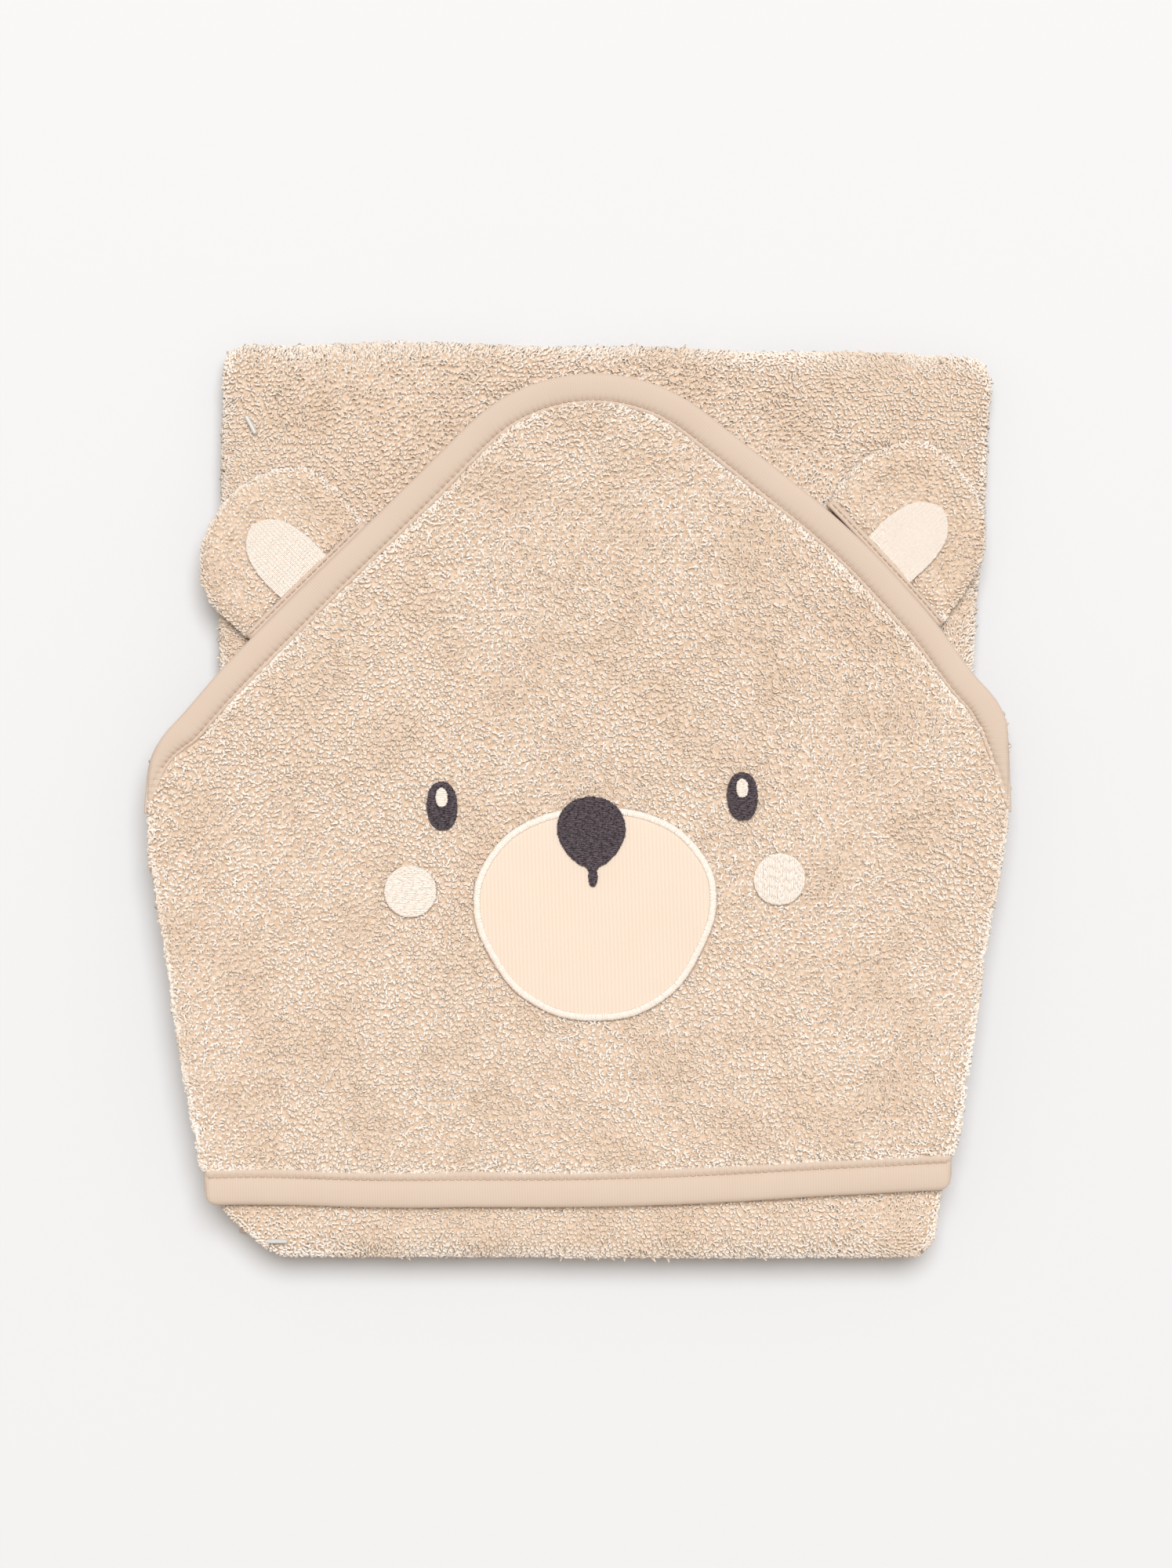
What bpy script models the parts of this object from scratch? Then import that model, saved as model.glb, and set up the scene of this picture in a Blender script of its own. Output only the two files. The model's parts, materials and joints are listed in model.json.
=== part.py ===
"""Hooded baby towel with a bear's face, folded for the shelf and lying face up.

The towel is folded lengthwise into a strip of several plies, and the strip is folded in three. Each third is
a flat cloth section: the back one lies on the table, the middle one shows above the hood, and the front one
carries the hood. The hood is a triangle of terry sewn over the towel's corner with a jersey binding, and its
hem is free. The origin is under the middle of the folded towel, on the table. +X is the wearer's left side
as the face looks up, +Y runs from the hem to the peak of the hood, +Z is up.
"""

import math

import bmesh
import bpy
from mathutils import Vector

# Cloth and gaps
GAP = 0.0003
SECTION_THICKNESS = 0.0073
HOOD_PLY = 0.0032
EAR_PLY = 0.0026
EMBROIDERY = 0.0008
PATCH_EDGE = 0.00025

# Folded strip: the middle and back sections
FOLD_SPAN = 0.3143
PACK_LEFT_TOP = -0.1225
PACK_RIGHT_TOP = 0.1420
PACK_LEFT_BOTTOM = -0.1195
PACK_RIGHT_BOTTOM = 0.1220
PACK_CORNER = 0.0090
PACK_LEFT_FOOT_RADIUS = 0.0220
TOP_EDGE_DROP = 0.0045
BACK_END_SETBACK = 0.0070

# Hood outline, measured at the outer edge of its binding
HOOD_WIDTH = 0.2973
PEAK_SETBACK = 0.0097
PEAK_X = 0.0005
PEAK_RADIUS = 0.0620
LEFT_SLOPE = math.radians(44.7)
RIGHT_SLOPE_UPPER = math.radians(38.7)
RIGHT_SLOPE_LOWER = math.radians(47.2)
RIGHT_SLOPE_BEND = 0.1209
SIDE_CORNER_RADIUS = 0.0250
SIDE_BEND_BELOW_CORNER = 0.0430
SIDE_TAPER = 0.0200
HEM_SETBACK = 0.0179
HEM_TILT = math.radians(1.3)
SIDE_LEAN = 0.0010
SIDE_BEND_RADIUS = 0.0800
SLOPE_BEND_RADIUS = 0.2500
LOWER_CORNER_RADIUS = 0.0080
FRONT_EDGE_INSET = 0.0015
FRONT_CHAMFER_ALONG = 0.0185
FRONT_CHAMFER_UP = 0.0165
FRONT_FOOT_INSET = 0.0050
FRONT_FOOT_RADIUS = 0.0080

# Bindings and their stitches
BINDING_WIDTH = 0.0110
BINDING_THICKNESS = 0.0036
BINDING_ROUND = 0.0012
STITCH_INSET = 0.0093
HEM_BINDING_WIDTH = 0.0125
HEM_STITCH_INSET = 0.0097
END_BINDING_THICKNESS = 0.0062
END_BINDING_ROUND = 0.0018
THREAD_RADIUS = 0.00035

# The line where the hood bends when its pocket opens
HOOD_HINGE_Y = 0.0230

# Ears: (along, out) points round each one from its base line on the hood's edge
EAR_STATION_LEFT = 0.1217
EAR_STATION_RIGHT = 0.1258
EAR_LEFT_SHAPE = (
    (0.0282, 0), (0.0293, 0.0170), (0.0265, 0.0290), (0.0123, 0.0382), (0.0000, 0.0393),
    (-0.0120, 0.0372), (-0.0233, 0.0297), (-0.0295, 0.0170), (-0.0282, 0),
)
EAR_RIGHT_SHAPE = (
    (0.0285, 0), (0.0262, 0.0130), (0.0222, 0.0250), (0.0150, 0.0335), (0.0050, 0.0392),
    (-0.0090, 0.0412), (-0.0216, 0.0379), (-0.0290, 0.0260), (-0.0308, 0.0120), (-0.0285, 0),
)
INNER_EAR_HALF_WIDTH = 0.0104
INNER_EAR_HEIGHT = 0.0268
EAR_ROUND = 0.0010

# Face, measured from the middle of the line between the eyes
FACE_CENTRE = (0.0044, 0.0003)
FACE_TILT = math.radians(1.8)
EYE_SPACING = 0.1030
EYE_RADII = (0.0051, 0.0083)
GLINT_RADII = (0.0019, 0.0032)
GLINT_RISE = 0.0028
CHEEK_SPACING = 0.1272
CHEEK_DROP = 0.0290
CHEEK_RADIUS = 0.0089
MUZZLE_HALF_WIDTH = 0.0400
MUZZLE_DROP = 0.0330
MUZZLE_RISE = 0.0285
MUZZLE_DEPTH = 0.0405
SATIN_WIDTH = 0.0016
NOSE_X = -0.0008
NOSE_TOP = 0.0013
NOSE_HALF_WIDTH = 0.0114
NOSE_HEIGHT = 0.0247
NOSE_STEM_LENGTH = 0.0058
NOSE_STEM_WIDTH = 0.0028

# Nylon tacks through the folded plies
TACK_RADIUS = 0.0008
TACK_LENGTH = 0.0066
UPPER_TACK_IN = (0.0092, 0.0270)
UPPER_TACK_TURN = math.radians(118)
LOWER_TACK_IN = (0.0245, 0.0062)

# Heights of the stack, from the table up
HALF_SPAN = FOLD_SPAN / 2
BACK_LOW = 0.0
BACK_HIGH = BACK_LOW + SECTION_THICKNESS
MIDDLE_LOW = BACK_HIGH + GAP
MIDDLE_HIGH = MIDDLE_LOW + SECTION_THICKNESS
FRONT_LOW = MIDDLE_HIGH + GAP
FRONT_HIGH = FRONT_LOW + SECTION_THICKNESS
HOOD_LOW = FRONT_HIGH + GAP
HOOD_HIGH = HOOD_LOW + HOOD_PLY
EAR_BACK_LOW = FRONT_LOW
EAR_BACK_HIGH = EAR_BACK_LOW + EAR_PLY
EAR_FRONT_LOW = EAR_BACK_HIGH + GAP
EAR_FRONT_HIGH = EAR_FRONT_LOW + EAR_PLY
INNER_EAR_LOW = EAR_FRONT_HIGH + GAP
INNER_EAR_HIGH = INNER_EAR_LOW + EMBROIDERY
PATCH_LOW = HOOD_HIGH + GAP
PATCH_HIGH = PATCH_LOW + EMBROIDERY
UPPER_PATCH_LOW = PATCH_HIGH + GAP
UPPER_PATCH_HIGH = UPPER_PATCH_LOW + EMBROIDERY

# How many straight pieces stand for each round stretch
CORNER_STEPS = 6
PEAK_STEPS = 14
BEND_STEPS = 5
EDGE_LEVELS = (0.0, 0.07, 0.25, 0.5, 0.75, 0.93, 1.0)
CURVE_STEPS = 5

# Edge profiles of a cloth section: a rounded side or slope, a fold whose turn lies at the section's foot or
# on its top, and edges that butt against a binding
SIDE = "side"
SLOPE = "slope"
FOLD_BELOW = "fold_below"
FOLD_ABOVE = "fold_above"
BUTT_SLOPE = "butt_slope"
BUTT_HEM = "butt_hem"


def clear_scene():
    """Removes everything that the scene holds."""
    for old in list(bpy.data.objects):
        bpy.data.objects.remove(old, do_unlink=True)


def new_collection(name, hidden=False):
    """A collection in the scene, left out of renders if hidden."""
    found = bpy.data.collections.new(name)
    found.hide_render = hidden
    bpy.context.scene.collection.children.link(found)
    return found


def cloth_material(name, colour, roughness):
    """A Principled material of one colour, given as red, green and blue from 0 to 1."""
    made = bpy.data.materials.new(name)
    made.use_nodes = True
    shader = made.node_tree.nodes["Principled BSDF"]
    shader.inputs["Base Color"].default_value = (*colour, 1.0)
    shader.inputs["Roughness"].default_value = roughness
    shader.inputs["Metallic"].default_value = 0.0
    made.diffuse_color = (*colour, 1.0)
    return made


def heading(angle):
    """The unit vector at this angle from +X."""
    return Vector((math.cos(angle), math.sin(angle)))


def turned(vector, angle):
    """A flat vector turned counter-clockwise."""
    cos, sin = math.cos(angle), math.sin(angle)
    return Vector((vector.x * cos - vector.y * sin, vector.x * sin + vector.y * cos))


def crossed(first, second):
    """The height of the cross product of two flat vectors."""
    return first.x * second.y - first.y * second.x


def meeting(point, along, other, other_along):
    """Where two lines in the plane meet."""
    return point + along * (crossed(other - point, other_along) / crossed(along, other_along))


class Outline:
    """A convex outline: corners counter-clockwise, each rounded, and the kind of the edge after each."""

    def __init__(self, corners, radii, steps, kinds):
        self.corners = corners
        self.radii = radii
        self.steps = steps
        self.kinds = kinds

    def points(self, inset_of):
        """The rounded outline after each edge has moved inwards by the inset of its kind."""
        insets = [inset_of(kind) for kind in self.kinds]
        edges = []
        for index, start in enumerate(self.corners):
            along = (self.corners[(index + 1) % len(self.corners)] - start).normalized()
            edges.append((start + turned(along, math.pi / 2) * insets[index], along))
        moved = [meeting(*edges[index - 1], *edges[index]) for index in range(len(edges))]
        found = []
        for index, corner in enumerate(moved):
            before = (moved[index - 1] - corner).normalized()
            after = (moved[(index + 1) % len(moved)] - corner).normalized()
            radius = max(self.radii[index] - min(insets[index - 1], insets[index]), GAP)
            half = before.angle(after) / 2
            centre = corner + (before + after).normalized() * radius / math.sin(half)
            start = corner + before * radius / math.tan(half) - centre
            turn = math.pi - 2 * half
            steps = self.steps[index]
            found += [centre + turned(start, turn * step / steps) for step in range(steps + 1)]
        return found


def edge_inset(kind, level, thickness):
    """How far an edge lies inside the outline at this level, from 0 at the section's foot to 1 on top."""
    if kind == FOLD_BELOW:
        return thickness * (1 - math.sqrt(1 - level**2))
    if kind == FOLD_ABOVE:
        return thickness * (1 - math.sqrt(1 - (1 - level) ** 2))
    if kind in (SIDE, SLOPE):
        return thickness / 2 * (1 - math.sqrt(1 - (2 * level - 1) ** 2))
    return 0.0


def mesh_object(name, verts, faces, material, collection):
    """A mesh object of these points and faces, shaded smooth but for its corners."""
    mesh = bpy.data.meshes.new(name)
    mesh.from_pydata(verts, [], faces)
    mesh.materials.append(material)
    mesh.shade_smooth()
    mesh.set_sharp_from_angle(angle=math.radians(40))
    made = bpy.data.objects.new(name, mesh)
    collection.objects.link(made)
    return made


def section(name, outline, low, high, insets, material, collection):
    """A flat cloth section: the outline lofted from its foot to its top with each edge's own roundness.

    insets moves whole edges inwards as well, by their kind.
    """
    rings = []
    for level in EDGE_LEVELS:
        height = low + (high - low) * level
        ring = outline.points(lambda kind: edge_inset(kind, level, high - low) + insets.get(kind, 0.0))
        rings.append([(point.x, point.y, height) for point in ring])
    count = len(rings[0])
    verts = [vertex for ring in rings for vertex in ring]
    faces = [tuple(reversed(range(count)))]
    for ring in range(len(rings) - 1):
        for index in range(count):
            after = (index + 1) % count
            base, above = ring * count, (ring + 1) * count
            faces.append((base + index, base + after, above + after, above + index))
    faces.append(tuple(range((len(rings) - 1) * count, len(rings) * count)))
    return mesh_object(name, verts, faces, material, collection)


def strip(name, outer, inner, low, high, rounding, material, collection):
    """A strip of tape between two lines with as many points, its long edges rounded."""
    small = rounding * (1 - math.sqrt(0.5))
    rings = []
    for start, end in zip(outer, inner):
        across = (end - start).normalized()
        half = [(0, rounding), (small, small), (rounding, 0)]
        side = [(start + across * inset, low + rise) for inset, rise in half]
        side += [(end - across * inset, low + rise) for inset, rise in reversed(half)]
        side += [(end - across * inset, high - rise) for inset, rise in half]
        side += [(start + across * inset, high - rise) for inset, rise in reversed(half)]
        rings.append([(point.x, point.y, height) for point, height in side])
    count = len(rings[0])
    verts = [vertex for ring in rings for vertex in ring]
    faces = [tuple(range(count)), tuple(reversed(range(len(verts) - count, len(verts))))]
    for ring in range(len(rings) - 1):
        for index in range(count):
            after = (index + 1) % count
            base, above = ring * count, (ring + 1) * count
            faces.append((base + after, base + index, above + index, above + after))
    made = mesh_object(name, verts, faces, material, collection)
    right_way = bmesh.new()
    right_way.from_mesh(made.data)
    bmesh.ops.recalc_face_normals(right_way, faces=right_way.faces[:])
    right_way.to_mesh(made.data)
    right_way.free()
    return made


def keep_side(piece, y_limit, keep_above):
    """Cuts a piece square at a line across it and closes the cut."""
    cut = bmesh.new()
    cut.from_mesh(piece.data)
    found = bmesh.ops.bisect_plane(
        cut,
        geom=cut.verts[:] + cut.edges[:] + cut.faces[:],
        dist=1e-7,
        plane_co=(0, y_limit, 0),
        plane_no=(0, 1, 0),
        clear_inner=keep_above,
        clear_outer=not keep_above,
    )
    rim = [part for part in found["geom_cut"] if isinstance(part, bmesh.types.BMEdge)]
    bmesh.ops.holes_fill(cut, edges=rim, sides=0)
    bmesh.ops.recalc_face_normals(cut, faces=cut.faces[:])
    cut.to_mesh(piece.data)
    cut.free()
    piece.data.set_sharp_from_angle(angle=math.radians(40))


def as_mesh(curve):
    """Makes a curve object a mesh object of the same name, with its caps welded on."""
    graph = bpy.context.evaluated_depsgraph_get()
    mesh = bpy.data.meshes.new_from_object(curve.evaluated_get(graph))
    weld = bmesh.new()
    weld.from_mesh(mesh)
    bmesh.ops.remove_doubles(weld, verts=weld.verts[:], dist=1e-7)
    bmesh.ops.recalc_face_normals(weld, faces=weld.faces[:])
    weld.to_mesh(mesh)
    weld.free()
    bpy.context.view_layer.update()
    mesh.transform(curve.matrix_world)
    name, holders = curve.name, list(curve.users_collection)
    bpy.data.objects.remove(curve, do_unlink=True)
    made = bpy.data.objects.new(name, mesh)
    for holder in holders:
        holder.objects.link(made)
    mesh.shade_smooth()
    mesh.set_sharp_from_angle(angle=math.radians(40))
    return made


def flat_piece(name, outlines, low, high, rounding, material, collection, smooth=False):
    """A flat piece cut to closed outlines (the first outside, others holes), with its edges rounded."""
    curve = bpy.data.curves.new(name, "CURVE")
    curve.dimensions = "2D"
    curve.fill_mode = "BOTH"
    curve.extrude = (high - low) / 2 - rounding
    curve.bevel_depth = rounding
    curve.bevel_resolution = 1
    curve.offset = -rounding
    for outline in outlines:
        if smooth:
            spline = curve.splines.new("BEZIER")
            spline.bezier_points.add(len(outline) - 1)
            for knot, point in zip(spline.bezier_points, outline):
                knot.co = (*point, 0)
                knot.handle_left_type = knot.handle_right_type = "AUTO"
            spline.resolution_u = CURVE_STEPS
        else:
            spline = curve.splines.new("POLY")
            spline.points.add(len(outline) - 1)
            for knot, point in zip(spline.points, outline):
                knot.co = (*point, 0, 1)
        spline.use_cyclic_u = True
    curve.materials.append(material)
    made = bpy.data.objects.new(name, curve)
    made.location = (0, 0, (low + high) / 2)
    collection.objects.link(made)
    return made


def tube(name, points, radius, height, material, collection):
    """A round thread or bar through these flat points, its middle at this height."""
    curve = bpy.data.curves.new(name, "CURVE")
    curve.dimensions = "3D"
    curve.bevel_depth = radius
    curve.bevel_resolution = 1
    curve.use_fill_caps = True
    spline = curve.splines.new("POLY")
    spline.points.add(len(points) - 1)
    for knot, point in zip(spline.points, points):
        knot.co = (*point, 0, 1)
    curve.materials.append(material)
    made = bpy.data.objects.new(name, curve)
    made.location = (0, 0, height)
    collection.objects.link(made)
    return made


def pivot(name, location, collection, parent=None):
    """An empty on a joint's axis, riding on the one before it."""
    made = bpy.data.objects.new(name, None)
    made.empty_display_size = 0.02
    made.location = location
    collection.objects.link(made)
    bpy.context.view_layer.update()
    if parent is not None:
        hang(made, parent)
    return made


def hang(child, parent):
    """Parents a piece where it stands."""
    bpy.context.view_layer.update()
    child.parent = parent
    child.matrix_parent_inverse = parent.matrix_world.inverted()


def apex():
    """The point where the hood's two slopes would meet if its peak were sharp."""
    half = (math.pi - LEFT_SLOPE - RIGHT_SLOPE_UPPER) / 2
    rounding_drop = PEAK_RADIUS * (1 / math.sin(half) - 1)
    return Vector((PEAK_X, HALF_SPAN - PEAK_SETBACK + rounding_drop))


def hood_corners():
    """The hood's corners counter-clockwise from its apex, without its rounding."""
    top = apex()
    half_width = HOOD_WIDTH / 2
    left_edge, right_edge = Vector((-half_width, 0)), Vector((half_width, 0))
    upright = Vector((0, 1))
    left = meeting(top, heading(math.pi + LEFT_SLOPE), left_edge, upright)
    bend = top + heading(-RIGHT_SLOPE_UPPER) * RIGHT_SLOPE_BEND
    right = meeting(bend, heading(-RIGHT_SLOPE_LOWER), right_edge, upright)
    hem = Vector((0, -HALF_SPAN + HEM_SETBACK))
    hem_along = heading(HEM_TILT)
    left_bend = left + Vector((SIDE_LEAN, -SIDE_BEND_BELOW_CORNER))
    right_bend = right + Vector((-SIDE_LEAN, -SIDE_BEND_BELOW_CORNER))
    left_foot = Vector((-half_width + SIDE_TAPER, hem.y))
    right_foot = Vector((half_width - SIDE_TAPER, hem.y))
    low_left = meeting(hem, hem_along, left_bend, left_foot - left_bend)
    low_right = meeting(hem, hem_along, right_bend, right_foot - right_bend)
    return [top, left, left_bend, low_left, low_right, right_bend, right, bend]


def hood_outline(slope_kind, hem_kind, lower_radius):
    """The hood's outline, with kinds for its sloping edges and its hem and a radius for its lower corners."""
    radii = [PEAK_RADIUS, SIDE_CORNER_RADIUS, SIDE_BEND_RADIUS, lower_radius]
    radii += [lower_radius, SIDE_BEND_RADIUS, SIDE_CORNER_RADIUS, SLOPE_BEND_RADIUS]
    steps = [PEAK_STEPS, CORNER_STEPS, 2, CORNER_STEPS, CORNER_STEPS, 2, CORNER_STEPS, BEND_STEPS]
    kinds = [slope_kind, SIDE, SIDE, hem_kind, SIDE, SIDE, slope_kind, slope_kind]
    return Outline(hood_corners(), radii, steps, kinds)


def front_outline():
    """The front section: the hood's outline above, and the towel's own fold below the hem."""
    corners = hood_corners()
    fold = -HALF_SPAN
    side_foot = Vector((corners[3].x + FRONT_FOOT_INSET, fold + FRONT_CHAMFER_UP))
    left_foot = Vector((side_foot.x + FRONT_CHAMFER_ALONG, fold))
    right_foot = Vector((PACK_RIGHT_BOTTOM, fold))
    corners = corners[:3] + [side_foot, left_foot, right_foot] + corners[5:]
    radii = [PEAK_RADIUS, SIDE_CORNER_RADIUS, SIDE_BEND_RADIUS] + [FRONT_FOOT_RADIUS] * 3
    radii += [SIDE_BEND_RADIUS, SIDE_CORNER_RADIUS, SLOPE_BEND_RADIUS]
    steps = [PEAK_STEPS, CORNER_STEPS, 2, 4, 4, 4, 2, CORNER_STEPS, BEND_STEPS]
    kinds = [SLOPE, SIDE, SIDE, SIDE, FOLD_BELOW, SIDE, SIDE, SLOPE, SLOPE]
    return Outline(corners, radii, steps, kinds)


def pack_outline(foot, top_kind, foot_kind):
    """The folded strip's outline from its top fold down to this line, with kinds for its two ends."""
    corners = [
        Vector((PACK_LEFT_TOP, HALF_SPAN)),
        Vector((PACK_LEFT_BOTTOM, foot)),
        Vector((PACK_RIGHT_BOTTOM, foot)),
        Vector((PACK_RIGHT_TOP, HALF_SPAN - TOP_EDGE_DROP)),
    ]
    radii = [PACK_CORNER, PACK_LEFT_FOOT_RADIUS, PACK_CORNER, PACK_CORNER]
    if foot_kind == BUTT_HEM:
        radii[1] = radii[2] = GAP
    return Outline(corners, radii, [CORNER_STEPS] * 4, [SIDE, foot_kind, SIDE, top_kind])


def build_sections(terry, collection):
    """The three lengths of folded towel and the two nodes of the hood panel."""
    back_foot = -HALF_SPAN + BACK_END_SETBACK + BINDING_WIDTH + GAP
    nodes = {}
    back = pack_outline(back_foot, FOLD_ABOVE, BUTT_HEM)
    nodes["towel_back"] = section("towel_back", back, BACK_LOW, BACK_HIGH, {}, terry, collection)
    middle = pack_outline(-HALF_SPAN, FOLD_BELOW, FOLD_ABOVE)
    nodes["towel_middle"] = section(
        "towel_middle", middle, MIDDLE_LOW, MIDDLE_HIGH, {}, terry, collection
    )
    nodes["towel_front"] = section(
        "towel_front", front_outline(), FRONT_LOW, FRONT_HIGH, {SLOPE: FRONT_EDGE_INSET}, terry, collection
    )
    panel = hood_outline(BUTT_SLOPE, BUTT_HEM, GAP)
    upper = section(
        "hood_upper", panel, HOOD_LOW, HOOD_HIGH, {BUTT_SLOPE: BINDING_WIDTH + GAP}, terry, collection
    )
    keep_side(upper, HOOD_HINGE_Y + GAP / 2, True)
    lower = section(
        "hood_lower", panel, HOOD_LOW, HOOD_HIGH, {BUTT_HEM: HEM_BINDING_WIDTH + GAP}, terry, collection
    )
    keep_side(lower, HOOD_HINGE_Y - GAP / 2, False)
    nodes["hood_upper"], nodes["hood_lower"] = upper, lower
    return nodes


def slope_line(inset):
    """Points along the hood's slopes, this far inside its edge, from its right side over the peak."""
    outline = hood_outline(BUTT_SLOPE, BUTT_HEM, LOWER_CORNER_RADIUS)
    points = outline.points(lambda kind: inset if kind == BUTT_SLOPE else 0.0)
    left_end = (PEAK_STEPS + 1) + (CORNER_STEPS + 1)
    right_start = len(points) - (BEND_STEPS + 1) - (CORNER_STEPS + 1)
    return points[right_start:] + points[:left_end]


def hem_line(inset):
    """The hem's ends, this far inside it, from left to right, with the corners that the hood's edge has."""
    outline = hood_outline(BUTT_SLOPE, BUTT_HEM, LOWER_CORNER_RADIUS if inset == 0 else GAP)
    points = outline.points(lambda kind: inset if kind == BUTT_HEM else 0.0)
    first = (PEAK_STEPS + 1) + (CORNER_STEPS + 1) + 3
    return points[first : first + 2 * (CORNER_STEPS + 1)]


def build_bindings(jersey, thread, collection):
    """The jersey bindings and the thread that stitches each one down."""
    nodes = {}
    high = HOOD_LOW + BINDING_THICKNESS
    thread_height = high + GAP + THREAD_RADIUS
    nodes["hood_edge_binding"] = strip(
        "hood_edge_binding",
        slope_line(0),
        slope_line(BINDING_WIDTH),
        HOOD_LOW,
        high,
        BINDING_ROUND,
        jersey,
        collection,
    )
    seam = tube("hood_edge_seam", slope_line(STITCH_INSET), THREAD_RADIUS, thread_height, thread, collection)
    nodes["hood_edge_seam"] = as_mesh(seam)
    for name in ("hood_edge_binding", "hood_edge_seam"):
        keep_side(nodes[name], HOOD_HINGE_Y + GAP / 2, True)
    nodes["hem_binding"] = strip(
        "hem_binding",
        hem_line(0),
        hem_line(HEM_BINDING_WIDTH),
        HOOD_LOW,
        high,
        BINDING_ROUND,
        jersey,
        collection,
    )
    stitches = hem_line(HEM_STITCH_INSET)
    inner = stitches[0].lerp(stitches[-1], 0.01), stitches[0].lerp(stitches[-1], 0.99)
    nodes["hem_seam"] = tube("hem_seam", inner, THREAD_RADIUS, thread_height, thread, collection)
    foot = -HALF_SPAN + BACK_END_SETBACK
    sides = (PACK_LEFT_BOTTOM + BINDING_ROUND, PACK_RIGHT_BOTTOM - BINDING_ROUND)
    end_high = BACK_LOW + END_BINDING_THICKNESS
    nodes["end_binding"] = strip(
        "end_binding",
        [Vector((x, foot)) for x in sides],
        [Vector((x, foot + BINDING_WIDTH)) for x in sides],
        BACK_LOW,
        end_high,
        END_BINDING_ROUND,
        jersey,
        collection,
    )
    stitches = [Vector((x * (1 - BINDING_ROUND), foot + STITCH_INSET)) for x in sides]
    height = end_high + GAP + THREAD_RADIUS
    nodes["end_seam"] = tube("end_seam", stitches, THREAD_RADIUS, height, thread, collection)
    return nodes


def station(distance, to_left):
    """The point this far along the hood's edge from its peak, and the way out of the hood there."""
    outline = hood_outline(BUTT_SLOPE, BUTT_HEM, LOWER_CORNER_RADIUS)
    points = outline.points(lambda kind: 0.0)
    middle = PEAK_STEPS // 2
    walk = points[middle:] if to_left else points[middle::-1] + points[:middle:-1]
    for start, end in zip(walk, walk[1:]):
        length = (end - start).length
        if distance <= length:
            break
        distance -= length
    along = (end - start).normalized()
    out = turned(along, -math.pi / 2 if to_left else math.pi / 2)
    return start + along * distance, out


def smooth_line(points, steps):
    """A smooth open line through these points."""
    held = [points[0] * 2 - points[1], *points, points[-1] * 2 - points[-2]]
    found = [points[0]]
    for before, start, end, after in zip(held, held[1:], held[2:], held[3:]):
        for step in range(1, steps + 1):
            t = step / steps
            bend = (before * 2 - start * 5 + end * 4 - after) * t**2
            twist = (start * 3 - before - end * 3 + after) * t**3
            found.append((start * 2 + (end - before) * t + bend + twist) / 2)
    return found


def build_ear(side, shape, distance, terry, satin, collection):
    """One ear's two plies and its embroidered patch, and the empty on the seam it lifts about."""
    base, out = station(distance, side == "left")
    along = turned(out, -math.pi / 2)

    def placed(points):
        return [base + along * point[0] + out * (point[1] + 2 * GAP) for point in points]

    round_ear = placed(smooth_line([Vector(point) for point in shape], 3))
    half, height = INNER_EAR_HALF_WIDTH, INNER_EAR_HEIGHT
    right_half = [(half, 2 * GAP), (half, 0.45 * height), (0.72 * half, 0.82 * height)]
    patch = right_half + [(0, height)] + [(-x, y) for x, y in reversed(right_half)]
    inner = placed(smooth_line([Vector(point) for point in patch], 3))
    hinge = (*(base + out * GAP), INNER_EAR_HIGH + GAP)
    seam = pivot(f"ear_{side}_pivot", hinge, collection)
    plies = (
        (f"ear_{side}_back", round_ear, EAR_BACK_LOW, EAR_BACK_HIGH, EAR_ROUND, terry),
        (f"ear_{side}_front", round_ear, EAR_FRONT_LOW, EAR_FRONT_HIGH, EAR_ROUND, terry),
        (f"inner_ear_{side}", inner, INNER_EAR_LOW, INNER_EAR_HIGH, PATCH_EDGE, satin),
    )
    for name, outline, low, high, rounding, material in plies:
        hang(flat_piece(name, [outline], low, high, rounding, material, collection), seam)
    return seam


def face_point(across, up):
    """A point of the face, in its own tilted frame, placed on the hood."""
    return Vector(FACE_CENTRE) + turned(Vector((across, up)), FACE_TILT)


def oval(across, up, radii):
    """Four points of an oval of the face."""
    wide, tall = radii
    around = ((wide, 0), (0, tall), (-wide, 0), (0, -tall))
    return [face_point(across + x, up + y) for x, y in around]


def muzzle_line(grow):
    """The muzzle's outline, grown outwards by this much all round."""
    half, rise, depth = MUZZLE_HALF_WIDTH, MUZZLE_RISE, MUZZLE_DEPTH
    right_side = [(0.5 * half, 0.9 * rise), (0.84 * half, 0.55 * rise), (half, 0)]
    right_side += [(0.86 * half, -0.48 * depth), (0.52 * half, -0.86 * depth)]
    left_side = [(-x, y) for x, y in reversed(right_side)]
    found = []
    for x, y in [(0, rise), *right_side, (0, -depth), *left_side]:
        offset = Vector((x, y)) + Vector((x, y)).normalized() * grow
        found.append(face_point(offset.x, offset.y - MUZZLE_DROP))
    return found


def nose_line():
    """The nose: a round-cornered triangle with a short stem under it."""
    half, height, stem = NOSE_HALF_WIDTH, NOSE_HEIGHT, NOSE_STEM_WIDTH / 2
    right_side = [(0.64 * half, 0.09 * height), (half, 0.4 * height), (0.83 * half, 0.7 * height)]
    right_side += [(0.42 * half, 0.91 * height), (stem, height), (stem, height + 0.5 * NOSE_STEM_LENGTH)]
    left_side = [(-x, y) for x, y in reversed(right_side)]
    tip = (0, height + NOSE_STEM_LENGTH)
    around = [(0, 0), *right_side, tip, *left_side]
    return [face_point(NOSE_X + x, NOSE_TOP - y) for x, y in around]


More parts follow.
